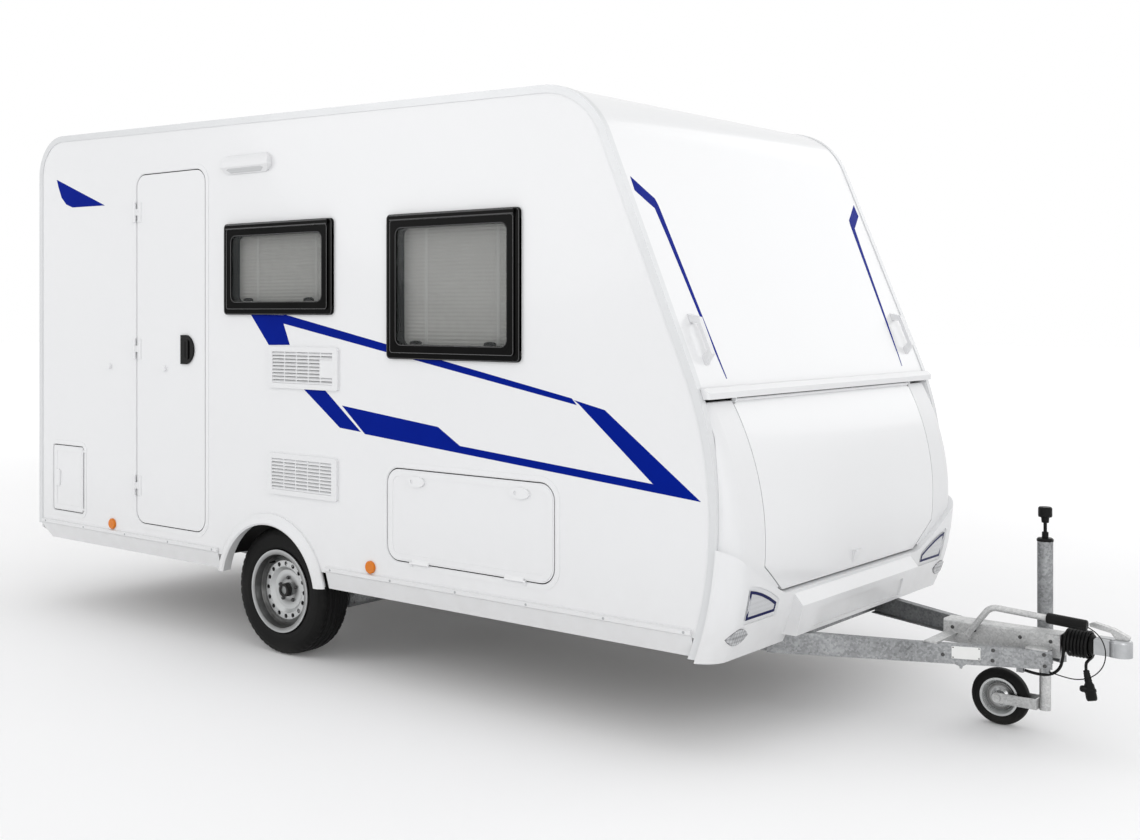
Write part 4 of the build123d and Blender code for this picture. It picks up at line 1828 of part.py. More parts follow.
with BuildPart() as lead_coil:
    with BuildSketch(Plane.YZ.offset(COIL_REAR_X)):
        with Locations((0, DRAW_Z)):
            Circle(COIL_OUT_R)
            Circle(COIL_IN_R, mode=Mode.SUBTRACT)
    extrude(amount=COIL_FRONT_X - COIL_REAR_X)
lead_coil.part.label = "lead_coil"
export_step(lead_coil.part, "parts/lead_coil.step")

plug_dir = (Vector(*LEAD_TAIL[2]) - Vector(*LEAD_TAIL[1])).normalized()
PLUG = [(0.3, 8.0), (34.0, 12.0), (36.0, 18.0), (96.0, 19.0), (98.0, 22.0), (110.0, 22.0)]
with BuildPart() as lead_plug:
    with BuildSketch(Plane(origin=LEAD_TAIL[2], x_dir=plug_dir, z_dir=plug_dir.cross(Vector(0, 1, 0)))):
        with BuildLine():
            Polyline((PLUG[-1][0], 0), (PLUG[0][0], 0), *PLUG, close=True)
        make_face()
    revolve(axis=Axis(LEAD_TAIL[2], plug_dir))
lead_plug.part.label = "lead_plug"
export_step(lead_plug.part, "parts/lead_plug.step")

# Breakaway cable: a thin loop from the grip round the plug to the eyelet
BREAKAWAY_R = 2.0
BREAKAWAY = [
    (2447.7, -79.0, 294.0),
    (2494.0, -86.0, 286.0),
    (2550.0, -92.0, 284.0),
    (2604.0, -94.0, 304.0),
    (2640.0, -86.0, 350.0),
    (2642.0, -76.0, 410.0),
    (2612.0, -67.0, 460.0),
    (2577.2, -63.0, 474.0),
]
print("breakaway radii", corner_radii(BREAKAWAY))
with BuildPart() as breakaway_cable:
    with BuildLine() as cable_path:
        FilletPolyline(*BREAKAWAY, radius=corner_radii(BREAKAWAY))
    with BuildSketch(Plane(origin=BREAKAWAY[0], z_dir=Vector(*BREAKAWAY[1]) - Vector(*BREAKAWAY[0]))):
        Circle(BREAKAWAY_R)
    sweep(path=cable_path.line)
breakaway_cable.part.label = "breakaway_cable"
export_step(breakaway_cable.part, "parts/breakaway_cable.step")
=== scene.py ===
"""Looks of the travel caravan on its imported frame. Metres: +X forward, +Y left, +Z up."""
from math import cos, pi, radians, sin, sqrt, tan

import bmesh
import bpy
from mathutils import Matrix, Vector


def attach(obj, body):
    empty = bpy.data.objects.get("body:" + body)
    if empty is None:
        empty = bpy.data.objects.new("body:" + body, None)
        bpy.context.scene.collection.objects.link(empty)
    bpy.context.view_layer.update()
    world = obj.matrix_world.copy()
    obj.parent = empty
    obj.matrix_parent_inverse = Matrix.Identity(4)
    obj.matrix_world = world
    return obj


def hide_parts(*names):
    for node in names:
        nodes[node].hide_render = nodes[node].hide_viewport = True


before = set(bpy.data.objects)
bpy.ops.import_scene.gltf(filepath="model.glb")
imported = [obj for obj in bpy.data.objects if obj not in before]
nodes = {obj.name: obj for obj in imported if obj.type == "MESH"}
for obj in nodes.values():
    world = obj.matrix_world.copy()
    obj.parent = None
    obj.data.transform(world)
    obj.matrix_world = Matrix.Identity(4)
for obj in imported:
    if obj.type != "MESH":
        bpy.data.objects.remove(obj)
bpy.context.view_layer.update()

scene = bpy.context.scene

# Camera: stands ahead of the caravan on its right, level, at eye height, with a normal lens.
# The photograph is framed off the lens axis, so the sensor is shifted by that much.
camera_data = bpy.data.cameras.new("camera")
camera_data.sensor_width = 36.0
camera_data.lens = 44.01
camera_data.shift_x = 0.1129
camera_data.shift_y = -0.0955
camera_data.clip_end = 200.0
camera = bpy.data.objects.new("camera", camera_data)
camera.location = (4.1492, -5.4023, 1.6201)
camera.rotation_mode = "QUATERNION"
camera.rotation_quaternion = Vector((-0.6601, 0.7512, 0.0)).to_track_quat("-Z", "Y")
scene.collection.objects.link(camera)
scene.camera = camera
scene.view_settings.view_transform = "Standard"

# Connecting lead: a round black cable from a gland under the right arm, wound round the bellows
# and let down to its plug. Soft PVC sheath, dull, with a fine drawn skin.


def node_group(name, inputs, outputs):
    """A shader node group with the named sockets, its input node and its output node."""
    tree = bpy.data.node_groups.new(name, "ShaderNodeTree")
    for socket, kind in inputs:
        tree.interface.new_socket(socket, in_out="INPUT", socket_type="NodeSocket" + kind)
    for socket, kind in outputs:
        tree.interface.new_socket(socket, in_out="OUTPUT", socket_type="NodeSocket" + kind)
    return tree, tree.nodes.new("NodeGroupInput"), tree.nodes.new("NodeGroupOutput")


def with_values(node, **values):
    """A node with the values of its inputs set, spaces in their names written as underscores."""
    for socket, value in values.items():
        node.inputs[socket.replace("_", " ")].default_value = value
    return node


def add_node(tree, kind, operation=None, data_type=None, **values):
    """A new node of a kind in a tree."""
    node = tree.nodes.new("ShaderNode" + kind)
    if operation:
        node.operation = operation
    if data_type:
        node.data_type = data_type
    return with_values(node, **values)


def add_group(tree, group, **values):
    """A node group placed in a tree with its own values."""
    node = tree.nodes.new("ShaderNodeGroup")
    node.node_tree = group
    return with_values(node, **values)


def link(tree, *links):
    """Links nodes, each link given as (node, output, node, input)."""
    for source, output, target, entry in links:
        tree.links.new(source.outputs[output], target.inputs[entry])


grain_tree, grain_in, grain_out = node_group(
    "fine_grain", [("Scale", "Float"), ("Height", "Float")], [("Normal", "Vector")]
)
place = add_node(grain_tree, "TexCoord")
noise = add_node(grain_tree, "TexNoise", Detail=3.0)
bump = add_node(grain_tree, "Bump", Strength=0.6)
link(
    grain_tree,
    (place, "Object", noise, "Vector"),
    (grain_in, "Scale", noise, "Scale"),
    (noise, "Fac", bump, "Height"),
    (grain_in, "Height", bump, "Distance"),
    (bump, "Normal", grain_out, "Normal"),
)

mottle_tree, mottle_in, mottle_out = node_group(
    "mottle",
    [
        ("Colour", "Color"), ("Second", "Color"),
        ("Scale", "Float"), ("Smooth", "Float"), ("Rough", "Float"),
    ],
    [("Colour", "Color"), ("Roughness", "Float")],
)
place = add_node(mottle_tree, "TexCoord")
noise = add_node(mottle_tree, "TexNoise", Detail=5.0)
spread = add_node(mottle_tree, "MapRange", From_Min=0.20, From_Max=0.80)
tone = add_node(mottle_tree, "Mix", data_type="RGBA")
sheen = add_node(mottle_tree, "MapRange")
link(
    mottle_tree,
    (place, "Object", noise, "Vector"),
    (mottle_in, "Scale", noise, "Scale"),
    (noise, "Fac", spread, "Value"),
    (spread, "Result", tone, "Factor"),
    (mottle_in, "Colour", tone, "A"),
    (mottle_in, "Second", tone, "B"),
    (spread, "Result", sheen, "Value"),
    (mottle_in, "Smooth", sheen, "To Min"),
    (mottle_in, "Rough", sheen, "To Max"),
    (tone, "Result", mottle_out, "Colour"),
    (sheen, "Result", mottle_out, "Roughness"),
)


def new_material(name):
    """A material, its node tree and its shader."""
    material = bpy.data.materials.new(name)
    material.use_nodes = True
    return material, material.node_tree, material.node_tree.nodes["Principled BSDF"]


def surface(name, colour, second, gloss, mottle, grain, metallic=0.0, coat=0.0, shine=0.5):
    """A material with two mottled tones, a roughness that goes with them and a fine grain.

    gloss: roughness of the two tones; mottle: scale of the tones; grain: its scale and height.
    """
    material, tree, shader = new_material(name)
    with_values(shader, Metallic=metallic, Specular_IOR_Level=shine)
    with_values(shader, Coat_Weight=coat, Coat_Roughness=0.08)
    tones = add_group(tree, mottle_tree, Colour=(*colour, 1.0), Second=(*second, 1.0), Scale=mottle)
    tones.name = "tones"
    with_values(tones, Smooth=gloss[0], Rough=gloss[1])
    skin = add_group(tree, grain_tree, Scale=grain[0], Height=grain[1])
    link(
        tree,
        (tones, "Colour", shader, "Base Color"),
        (tones, "Roughness", shader, "Roughness"),
        (skin, "Normal", shader, "Normal"),
    )
    return material


def nurbs(name, points, radius, material):
    """A smooth round cord with those control points."""
    data = bpy.data.curves.new(name, "CURVE")
    data.dimensions = "3D"
    data.bevel_depth = radius
    data.bevel_resolution = 3
    data.resolution_u = 5
    data.use_fill_caps = True
    spline = data.splines.new("NURBS")
    spline.points.add(len(points) - 1)
    for point, place in zip(spline.points, points):
        point.co = (*place, 1.0)
    spline.order_u = 3
    spline.use_endpoint_u = True
    data.materials.append(material)
    cord = bpy.data.objects.new(name, data)
    scene.collection.objects.link(cord)
    return cord


cable_black = surface(
    "cable_black", (0.004, 0.004, 0.004), (0.008, 0.008, 0.008),
    gloss=(0.40, 0.54), mottle=30.0, grain=(900.0, 0.0004), shine=0.14,
)
LEAD_R = 0.0055
LEAD_RUN = [
    (2.3669, -0.104, 0.292), (2.405, -0.090, 0.280), (2.450, -0.062, 0.280), (2.478, -0.054, 0.308),
    (2.486, -0.053, 0.345), (2.4875, -0.0495, 0.3676),
]
LEAD_TAIL = [(2.569, -0.036, 0.3475), (2.565, -0.053, 0.339), (2.569, -0.060, 0.318)]
DRAW_Z = 0.398
COIL_R = 0.0472
COIL_X = 2.488
COIL_LENGTH = 0.0825
COIL_TURN_POINTS = 16
COIL_FROM = 195.0
COIL_TO = -100.0 - 6 * 360.0
coil_steps = int((COIL_FROM - COIL_TO) / 360.0 * COIL_TURN_POINTS)
coil_points = []
for step in range(coil_steps + 1):
    share = step / coil_steps
    angle = radians(COIL_FROM + (COIL_TO - COIL_FROM) * share)
    coil_points.append((COIL_X + COIL_LENGTH * share, COIL_R * cos(angle), DRAW_Z + COIL_R * sin(angle)))
lead_points = LEAD_RUN + coil_points + LEAD_TAIL
lead = nurbs("lead", lead_points, LEAD_R, cable_black)
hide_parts("lead_run", "lead_coil")
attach(lead, "body")

# Plug of the lead: a moulded black hand grip with a ribbed strain relief, a finger collar, a pin
# face and a round knob on its side. Hard plastic with a fine moulded grain.


def wrap_faces(count, steps, closed=False):
    """Faces that join each round of points to the next and, where closed, the last to the first."""
    faces = []
    for row in range(count if closed else count - 1):
        low = row * steps
        top = (row + 1) % count * steps
        for step in range(steps):
            beside = (step + 1) % steps
            faces.append((low + step, low + beside, top + beside, top + step))
    return faces


def lathe(profile, origin, axis, steps):
    """Vertices and faces of a profile of (along, radius) turned round an axis from an origin."""
    axis = Vector(axis).normalized()
    aside = axis.orthogonal().normalized()
    across = axis.cross(aside)
    verts = []
    for along, radius in profile:
        for step in range(steps):
            angle = 2 * pi * step / steps
            spoke = aside * cos(angle) + across * sin(angle)
            verts.append(Vector(origin) + axis * along + spoke * radius)
    return verts, wrap_faces(len(profile), steps)


def joined(*shapes):
    """One list of vertices and faces from several."""
    verts = []
    faces = []
    for shape_verts, shape_faces in shapes:
        start = len(verts)
        verts += shape_verts
        faces += [tuple(index + start for index in face) for face in shape_faces]
    return verts, faces


def piece(name, shape, material, body, smooth=False, bevel=0.0):
    """An object of those vertices and faces that rides on a body."""
    mesh = bpy.data.meshes.new(name)
    mesh.from_pydata([tuple(v) for v in shape[0]], [], shape[1])
    form = bmesh.new()
    form.from_mesh(mesh)
    bmesh.ops.remove_doubles(form, verts=form.verts, dist=1e-6)
    bmesh.ops.recalc_face_normals(form, faces=form.faces)
    form.to_mesh(mesh)
    form.free()
    mesh.materials.append(material)
    for face in mesh.polygons:
        face.use_smooth = smooth
    thing = bpy.data.objects.new(name, mesh)
    scene.collection.objects.link(thing)
    if bevel:
        edge = thing.modifiers.new("edge", "BEVEL")
        edge.width = bevel
        edge.segments = 2
        edge.limit_method = "ANGLE"
    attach(thing, body)
    return thing


plastic_black = surface(
    "plastic_black", (0.004, 0.004, 0.004), (0.007, 0.007, 0.007),
    gloss=(0.30, 0.42), mottle=12.0, grain=(1400.0, 0.0003), shine=0.14,
)
PLUG_RIBS = 5
RIB_PITCH = 0.008
RIB_GROWTH = 0.0006
PLUG_GRIP = [
    (0.046, 0.0135), (0.052, 0.0172), (0.066, 0.0180), (0.068, 0.0205), (0.073, 0.0212),
    (0.078, 0.0205), (0.080, 0.0190), (0.099, 0.0192), (0.106, 0.0172), (0.109, 0.0130),
    (0.106, 0.0120), (0.106, 0.001),
]
KNOB = [(0.0, 0.001), (0.0, 0.0110), (0.012, 0.0120), (0.028, 0.0122), (0.034, 0.0095), (0.036, 0.001)]
KNOB_ALONG = 0.070
KNOB_LEAN = 0.25
# the knob stands square to the grip and to this level direction, towards the right rear
KNOB_SQUARE = Vector((0.6601, -0.7512, 0.0))
plug_start = Vector(LEAD_TAIL[-1])
plug_way = Vector((0.007, -0.005, -0.027)).normalized()
plug_profile = [(0.0, 0.001), (0.0, 0.0085)]
for rib in range(PLUG_RIBS):
    for along, radius in ((0.004, 0.0112), (0.009, 0.0098)):
        plug_profile.append((along + RIB_PITCH * rib, radius + RIB_GROWTH * rib))
plug_grip = lathe(plug_profile + PLUG_GRIP, plug_start, plug_way, steps=32)
knob_way = plug_way.cross(KNOB_SQUARE).normalized()
plug_knob = lathe(KNOB, plug_start + plug_way * KNOB_ALONG, knob_way - plug_way * KNOB_LEAN, steps=20)
shape = joined(plug_grip, plug_knob)
plug = piece("lead_plug_grip", shape, plastic_black, "body", smooth=True)
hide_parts("lead_plug")

# Breakaway cable: a thin steel strand in a dark sleeve, from an eyelet under the arm up to a clip
# on the coupling handle.
breakaway_points = [
    (2.4477, -0.079, 0.294), (2.494, -0.086, 0.286), (2.550, -0.092, 0.284), (2.604, -0.094, 0.304),
    (2.640, -0.086, 0.350), (2.642, -0.076, 0.410), (2.612, -0.067, 0.460), (2.5772, -0.063, 0.474),
]
breakaway = nurbs("breakaway", breakaway_points, radius=0.002, material=cable_black)
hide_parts("breakaway_cable")
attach(breakaway, "body")

# Studio: a pale matt floor that turns white with distance, as a sweep does, under an even white
# sky. Broad soft lamps stand at the front right, the rear right, over the roof and on the left.


def add_math(tree, operation, *later, clamp=False):
    """A math node with the values of its second and third inputs."""
    node = add_node(tree, "Math", operation)
    node.use_clamp = clamp
    for index, value in enumerate(later, 1):
        node.inputs[index].default_value = value
    return node


def seen_rays(tree):
    """A node and its output: 1 for rays of the camera or by metal or glass, 0 for plain light."""
    rays = add_node(tree, "LightPath")
    total = (rays, "Is Camera Ray")
    for kind in ("Is Glossy Ray", "Is Transmission Ray"):
        either = add_math(tree, "ADD", clamp=True)
        link(tree, (*total, either, 0), (rays, kind, either, 1))
        total = (either, "Value")
    return total


floor_pale = surface(
    "floor_pale", (0.90, 0.90, 0.905), (0.88, 0.88, 0.885),
    gloss=(0.75, 0.85), mottle=0.6, grain=(40.0, 0.0002),
)
tree = floor_pale.node_tree
shader = with_values(tree.nodes["Principled BSDF"], Emission_Color=(1.0, 1.0, 1.0, 1.0))
place = add_node(tree, "TexCoord")
reach = add_node(tree, "VectorMath", "LENGTH")
sweep = add_node(tree, "MapRange", From_Min=3.0, From_Max=13.0, To_Min=0.06, To_Max=0.30)
glow = add_math(tree, "MULTIPLY")
link(
    tree,
    (place, "Object", reach, 0),
    (reach, "Value", sweep, "Value"),
    (sweep, "Result", glow, 0),
    (*seen_rays(tree), glow, 1),
    (glow, "Value", shader, "Emission Strength"),
)
FLOOR_REACH = 60
ground = bpy.data.meshes.new("ground")
corners = [(x * FLOOR_REACH, y * FLOOR_REACH, 0) for x, y in ((-1, -1), (1, -1), (1, 1), (-1, 1))]
ground.from_pydata(corners, [], [(0, 1, 2, 3)])
ground.materials.append(floor_pale)
ground_object = bpy.data.objects.new("ground", ground)
scene.collection.objects.link(ground_object)
# name, place, size across, watts
LAMPS = [
    ("key", (7.5, -5.0, 4.0), 6.0, 150.0),
    ("side", (-5.0, -8.0, 4.5), 6.0, 125.0),
    ("top", (0.0, 0.0, 8.5), 7.0, 40.0),
    ("fill", (3.0, 8.0, 5.0), 6.0, 80.0),
]
LAMP_AIM = Vector((0.0, 0.0, 1.0))
for name, place, size, power in LAMPS:
    lamp = bpy.data.lights.new(name, "AREA")
    lamp.shape = "DISK"
    lamp.size = size
    lamp.energy = power
    lamp_object = bpy.data.objects.new(name, lamp)
    lamp_object.location = place
    lamp_object.rotation_mode = "QUATERNION"
    lamp_object.rotation_quaternion = (LAMP_AIM - Vector(place)).to_track_quat("-Z", "Y")
    scene.collection.objects.link(lamp_object)
world = bpy.data.worlds.new("sky")
world.use_nodes = True
tree = world.node_tree
sky = with_values(tree.nodes["Background"], Color=(1.0, 1.0, 1.0, 1.0))
level = add_node(tree, "MapRange", To_Min=0.80, To_Max=1.0)
link(tree, (*seen_rays(tree), level, "Value"), (level, "Result", sky, "Strength"))
scene.world = world

# Body panels: foam sandwich with a smooth white polyester skin, glued into the edge trims. The
# skin has a faint orange peel and picks up road dust towards its foot.
panel_white = surface(
    "panel_white", (0.80, 0.805, 0.815), (0.785, 0.79, 0.80),
    gloss=(0.28, 0.28), mottle=0.9, grain=(160.0, 0.00006), coat=0.3,
)
dust_tree, dust_in, dust_out = node_group(
    "foot_dust",
    [("Colour", "Color"), ("Dust", "Color"), ("Foot", "Float"), ("Top", "Float"), ("Most", "Float")],
    [("Colour", "Color")],
)
place = add_node(dust_tree, "TexCoord")
split = add_node(dust_tree, "SeparateXYZ")
fade = add_node(dust_tree, "MapRange", To_Min=1.0, To_Max=0.0)
fade.interpolation_type = "SMOOTHSTEP"
noise = add_node(dust_tree, "TexNoise", Scale=14.0, Detail=6.0)
patch = add_math(dust_tree, "MULTIPLY")
amount = add_math(dust_tree, "MULTIPLY")
tone = add_node(dust_tree, "Mix", data_type="RGBA")
link(
    dust_tree,
    (place, "Object", split, "Vector"),
    (place, "Object", noise, "Vector"),
    (split, "Z", fade, "Value"),
    (dust_in, "Foot", fade, "From Min"),
    (dust_in, "Top", fade, "From Max"),
    (fade, "Result", patch, 0),
    (noise, "Fac", patch, 1),
    (patch, "Value", amount, 0),
    (dust_in, "Most", amount, 1),
    (amount, "Value", tone, "Factor"),
    (dust_in, "Colour", tone, "A"),
    (dust_in, "Dust", tone, "B"),
    (tone, "Result", dust_out, "Colour"),
)


def dusty(material, foot, top, most):
    """Puts road dust between the tones of a material and its shader, from a foot up to a top."""
    tree = material.node_tree
    dust = add_group(tree, dust_tree, Dust=(0.36, 0.34, 0.31, 1.0), Foot=foot, Top=top, Most=most)
    link(
        tree,
        (tree.nodes["tones"], "Colour", dust, "Colour"),
        (dust, "Colour", tree.nodes["Principled BSDF"], "Base Color"),
    )


def dress(material, *names):
    """Gives CAD nodes a material."""
    for name in names:
        slots = nodes[name].data.materials
        slots.clear()
        slots.append(material)


dusty(panel_white, foot=0.44, top=0.80, most=0.10)
dress(panel_white, "wall_right", "wall_left", "roof_panel", "rear_panel", "front_panel", "door_panel")
dress(panel_white, "side_hatch", "cassette_hatch", "locker_lid")

# Mouldings: satin white plastic for the corners, bumpers, skirts, arches, grilles and handles,
# screwed to the panels. Their grain is coarser than the panels' skin.
moulding_white = surface(
    "moulding_white", (0.78, 0.785, 0.795), (0.765, 0.77, 0.78),
    gloss=(0.38, 0.38), mottle=2.2, grain=(700.0, 0.0001),
)
dusty(moulding_white, foot=0.36, top=0.62, most=0.22)
dress(moulding_white, "front_corners", "front_bumper", "rear_bumper", "side_skirts", "wheel_arches")
dress(moulding_white, "hinge_rail", "grab_handles", "fridge_grilles", "rooflight_frame", "awning_lamp")

# Edge trims: white lacquered aluminium strips over the joints of the panels, bent round the roof's
# corners and screwed through a bead of sealant.
trim_white = surface(
    "trim_white", (0.70, 0.71, 0.72), (0.66, 0.67, 0.68),
    gloss=(0.28, 0.36), mottle=3.0, grain=(500.0, 0.0002), metallic=0.15,
)
dress(trim_white, "edge_trims")

# Side stripes: dark blue vinyl film cut to shape and pressed on the walls, a fraction of a
# millimetre thick, with a soft gloss. The left wall mirrors the right one.
film_blue = surface(
    "film_blue", (0.0, 0.012, 0.250), (0.0, 0.010, 0.225),
    gloss=(0.36, 0.46), mottle=8.0, grain=(600.0, 0.0001), shine=0.03,
)
HALF_WIDTH = 1.025
FILM = 0.0006
FILM_SUNK = 0.0001
SIDE_STRIPES = [
    [
        (-2.522, 2.345), (-2.073, 2.181), (-2.371, 2.1845),
        (-2.431, 2.204), (-2.476, 2.244), (-2.507, 2.306),
    ],
    [(-0.902, 1.604), (-0.690, 1.602), (-0.629, 1.464), (-0.774, 1.461)],
    [(-0.690, 1.602), (-0.655, 1.603), (0.974, 1.283), (0.998, 1.258), (-0.6724, 1.5621)],
    [(-0.534, 1.262), (-0.396, 1.264), (-0.169, 1.088), (-0.300, 1.099)],
    [
        (-0.287, 1.199), (0.284, 1.135), (0.405, 1.063), (1.342, 0.982), (1.007, 1.262),
        (0.984, 1.277), (1.128, 1.245), (1.545, 0.934), (-0.144, 1.080),
    ],
]


def prism(outline, push):
    """A flat outline pushed along a vector, closed all round."""
    count = len(outline)
    verts = [Vector(p) for p in outline] + [Vector(p) + Vector(push) for p in outline]
    faces = [tuple(range(count)), tuple(range(2 * count - 1, count - 1, -1))]
    for index in range(count):
        after = (index + 1) % count
        faces.append((index, after, after + count, index + count))
    return verts, faces


shapes = []
for side in (-1, 1):
    for stripe in SIDE_STRIPES:
        outline = [(x, side * (HALF_WIDTH - FILM_SUNK), z) for x, z in stripe]
        shapes.append(prism(outline, (0.0, side * FILM, 0.0)))
piece("side_stripes", joined(*shapes), film_blue, "body")

# Front stripes: the same film beside the edges of the raked upper front. It follows the panel's
# skin, which is round below and straight above.
BELLY_X, BELLY_Z, BELLY_R = 0.159, 0.859, 1.450
RAKE = radians(22.4)


def front_x(z):
    """X of the front panel's skin at a height."""
    touch_z = BELLY_Z + BELLY_R * sin(RAKE)
    if z < touch_z:
        return BELLY_X + sqrt(BELLY_R**2 - (z - BELLY_Z) ** 2)
    return BELLY_X + BELLY_R * cos(RAKE) - (z - touch_z) * tan(RAKE)


# rows from the top down: Z, inner |Y|, outer |Y|
FRONT_STRIPE = [
    (2.131, 0.966, 0.967), (2.076, 0.883, 0.970), (2.052, 0.846, 0.933), (2.028, 0.838, 0.897),
    (2.013, 0.836, 0.872), (1.900, 0.828, 0.857), (1.622, 0.809, 0.829), (1.480, 0.799, 0.812),
    (1.411, 0.795, 0.803), (1.390, 0.793, 0.800), (1.368, 0.791, 0.796),
]
ROW_VERTS = 4
front_out = Vector((cos(RAKE), 0.0, sin(RAKE)))
shapes = []
for side in (-1, 1):
    verts = []
    for z, inner, outer in FRONT_STRIPE:
        skin = Vector((front_x(z), 0.0, z))
        for lift in (-FILM_SUNK, FILM):
            verts.append(skin + front_out * lift + Vector((0.0, side * inner, 0.0)))
            verts.append(skin + front_out * lift + Vector((0.0, side * outer, 0.0)))
    faces = [(0, 1, 3, 2)]
    for row in range(len(FRONT_STRIPE) - 1):
        a = ROW_VERTS * row
        b = a + ROW_VERTS
        faces += [
            (a, b, b + 1, a + 1),
            (a + 2, a + 3, b + 3, b + 2),
            (a, a + 2, b + 2, b),
            (a + 1, b + 1, b + 3, a + 3),
        ]
    end = ROW_VERTS * (len(FRONT_STRIPE) - 1)
    faces.append((end, end + 2, end + 3, end + 1))
    shapes.append((verts, faces))
piece("front_stripes", joined(*shapes), film_blue, "body")

# Window frames and panes: stepped, glossy black frames with a hinge profile along the top, and
# hinged acrylic panes, tinted grey and a little wavy.
frame_black = surface(
    "frame_black", (0.002, 0.002, 0.002), (0.004, 0.004, 0.004),
    gloss=(0.16, 0.24), mottle=6.0, grain=(300.0, 0.0002), shine=0.05,
)
dress(frame_black, "window_frames")
pane_tint, tree, shader = new_material("pane_tint")
with_values(shader, Base_Color=(0.035, 0.040, 0.040, 1.0), Alpha=0.24, Coat_Weight=0.0, IOR=1.49)
waves = add_group(tree, grain_tree, Scale=5.0, Height=0.002)
smears = add_group(tree, mottle_tree, Scale=9.0, Smooth=0.03, Rough=0.10)
link(
    tree,
    (waves, "Normal", shader, "Normal"),
    (smears, "Roughness", shader, "Roughness"),
)
dress(pane_tint, "window_panes")
# name, side, X and Z of the middle, width, height over the frame
WINDOWS = [
    ("kitchen", -1, -0.7105, 1.821, 0.745, 0.436),
    ("front_right", -1, 0.3635, 1.7255, 0.729, 0.621),
    ("front_left", 1, 0.3635, 1.7255, 0.729, 0.621),
    ("rear_left", 1, -1.5, 1.821, 0.745, 0.436),
]

# Blinds: off-white pleated polyester cloth, stretched behind each pane in a guide on the wall.
# The pleats run across, 16 mm from fold to fold.
blind_cloth = surface(
    "blind_cloth", (0.78, 0.78, 0.75), (0.71, 0.71, 0.68),
    gloss=(0.80, 0.92), mottle=40.0, grain=(1600.0, 0.0004),
)
BLIND_Y = 0.9905
BLIND_MARGIN = 0.062
PLEAT = 0.016
PLEAT_DEPTH = 0.0015
for name, side, x, z, width, height in WINDOWS:
    cloth_w = width - BLIND_MARGIN
    cloth_h = height - BLIND_MARGIN
    pleats = int(cloth_h / PLEAT)
    verts = []
    faces = []
    for row in range(2 * pleats + 1):
        level = z - cloth_h / 2 + cloth_h * row / (2 * pleats)
        depth = side * (BLIND_Y if row % 2 else BLIND_Y - PLEAT_DEPTH)
        verts += [(x - cloth_w / 2, depth, level), (x, depth, level), (x + cloth_w / 2, depth, level)]
    for row in range(2 * pleats):
        a = 3 * row
        faces += [(a, a + 1, a + 4, a + 3), (a + 1, a + 2, a + 5, a + 4)]
    blind = piece("blind_" + name, (verts, faces), blind_cloth, "body")
    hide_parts("window_blinds")

# Window latches: two black moulded levers at the foot of each pane, on its inner face. They turn
# on a pin through the acrylic.
LATCH = [(-0.030, 0.0), (-0.026, 0.012), (-0.008, 0.016), (0.018, 0.016), (0.030, 0.010), (0.030, 0.0)]
LATCH_PLACES = (-0.28, 0.28)
LATCH_Y = 1.0345
LATCH_DEEP = 0.014
LATCH_LIFT = 0.064
shapes = []
for name, side, x, z, width, height in WINDOWS:
    for share in LATCH_PLACES:
        outline = []
        for dx, dz in LATCH:
            outline.append((x + share * width + dx, side * LATCH_Y, z - height / 2 + LATCH_LIFT + dz))
        shapes.append(prism(outline, (0.0, -side * LATCH_DEEP, 0.0)))
piece("window_latches", joined(*shapes), plastic_black, "body", bevel=0.002)

# Blind tapes: two white woven tapes down the outer side of each blind. They are sewn to the folds
# and keep the pleats even.
tape_white = surface(
    "tape_white", (0.84, 0.84, 0.82), (0.80, 0.80, 0.78),
    gloss=(0.70, 0.85), mottle=60.0, grain=(1500.0, 0.0003),
)
TAPE_PLACES = (-0.24, 0.30)
TAPE_Y = 0.9908
TAPE_T = 0.0008
TAPE_HALF = 0.008
TAPE_MARGIN = 0.126
shapes = []
for name, side, x, z, width, height in WINDOWS:
    tape_h = height - TAPE_MARGIN
    for share in TAPE_PLACES:
        outline = []
        for dx, dz in ((-TAPE_HALF, -0.5), (TAPE_HALF, -0.5), (TAPE_HALF, 0.5), (-TAPE_HALF, 0.5)):
            outline.append((x + share * width + dx, side * TAPE_Y, z + dz * tape_h))
        shapes.append(prism(outline, (0.0, side * TAPE_T, 0.0)))
piece("blind_tapes", joined(*shapes), tape_white, "body")

# Window beads: the rolled edges of the frame, the hinge profile and the pane, in a black lighter
# than the frame's, as painted highlight lines where the glossy plastic turns over. Moulded with the
# frame.


def rounded(x, z, width, height, radius, steps=8):
    """Points of a rounded rectangle, anticlockwise."""
    points = []
    for corner, (sx, sz) in enumerate(((1, 1), (-1, 1), (-1, -1), (1, -1))):
        cx = x + sx * (width / 2 - radius)
        cz = z + sz * (height / 2 - radius)
        for step in range(steps + 1):
            angle = pi / 2 * (corner + step / steps)
            points.append((cx + radius * cos(angle), cz + radius * sin(angle)))
    return points


def bead(outline, y, radius, sides=8):
    """A round rod along a closed outline in XZ."""
    verts = []
    count = len(outline)
    for index, (x, z) in enumerate(outline):
        before = outline[index - 1]
        after = outline[(index + 1) % count]
        out = Vector((after[1] - before[1], 0.0, before[0] - after[0])).normalized()
        for step in range(sides):
            angle = 2 * pi * step / sides
            lift = Vector((0.0, radius * sin(angle), 0.0))
            verts.append(Vector((x, y, z)) + out * radius * cos(angle) + lift)
    return verts, wrap_faces(count, sides, closed=True)


# A black lighter than the frame's: painted highlight lines along its edges.
bead_highlight_black = surface(
    "bead_highlight_black", (0.042, 0.042, 0.043), (0.032, 0.032, 0.033),
    gloss=(0.22, 0.30), mottle=6.0, grain=(300.0, 0.0001), shine=0.6,
)
BEAD_R = 0.0020
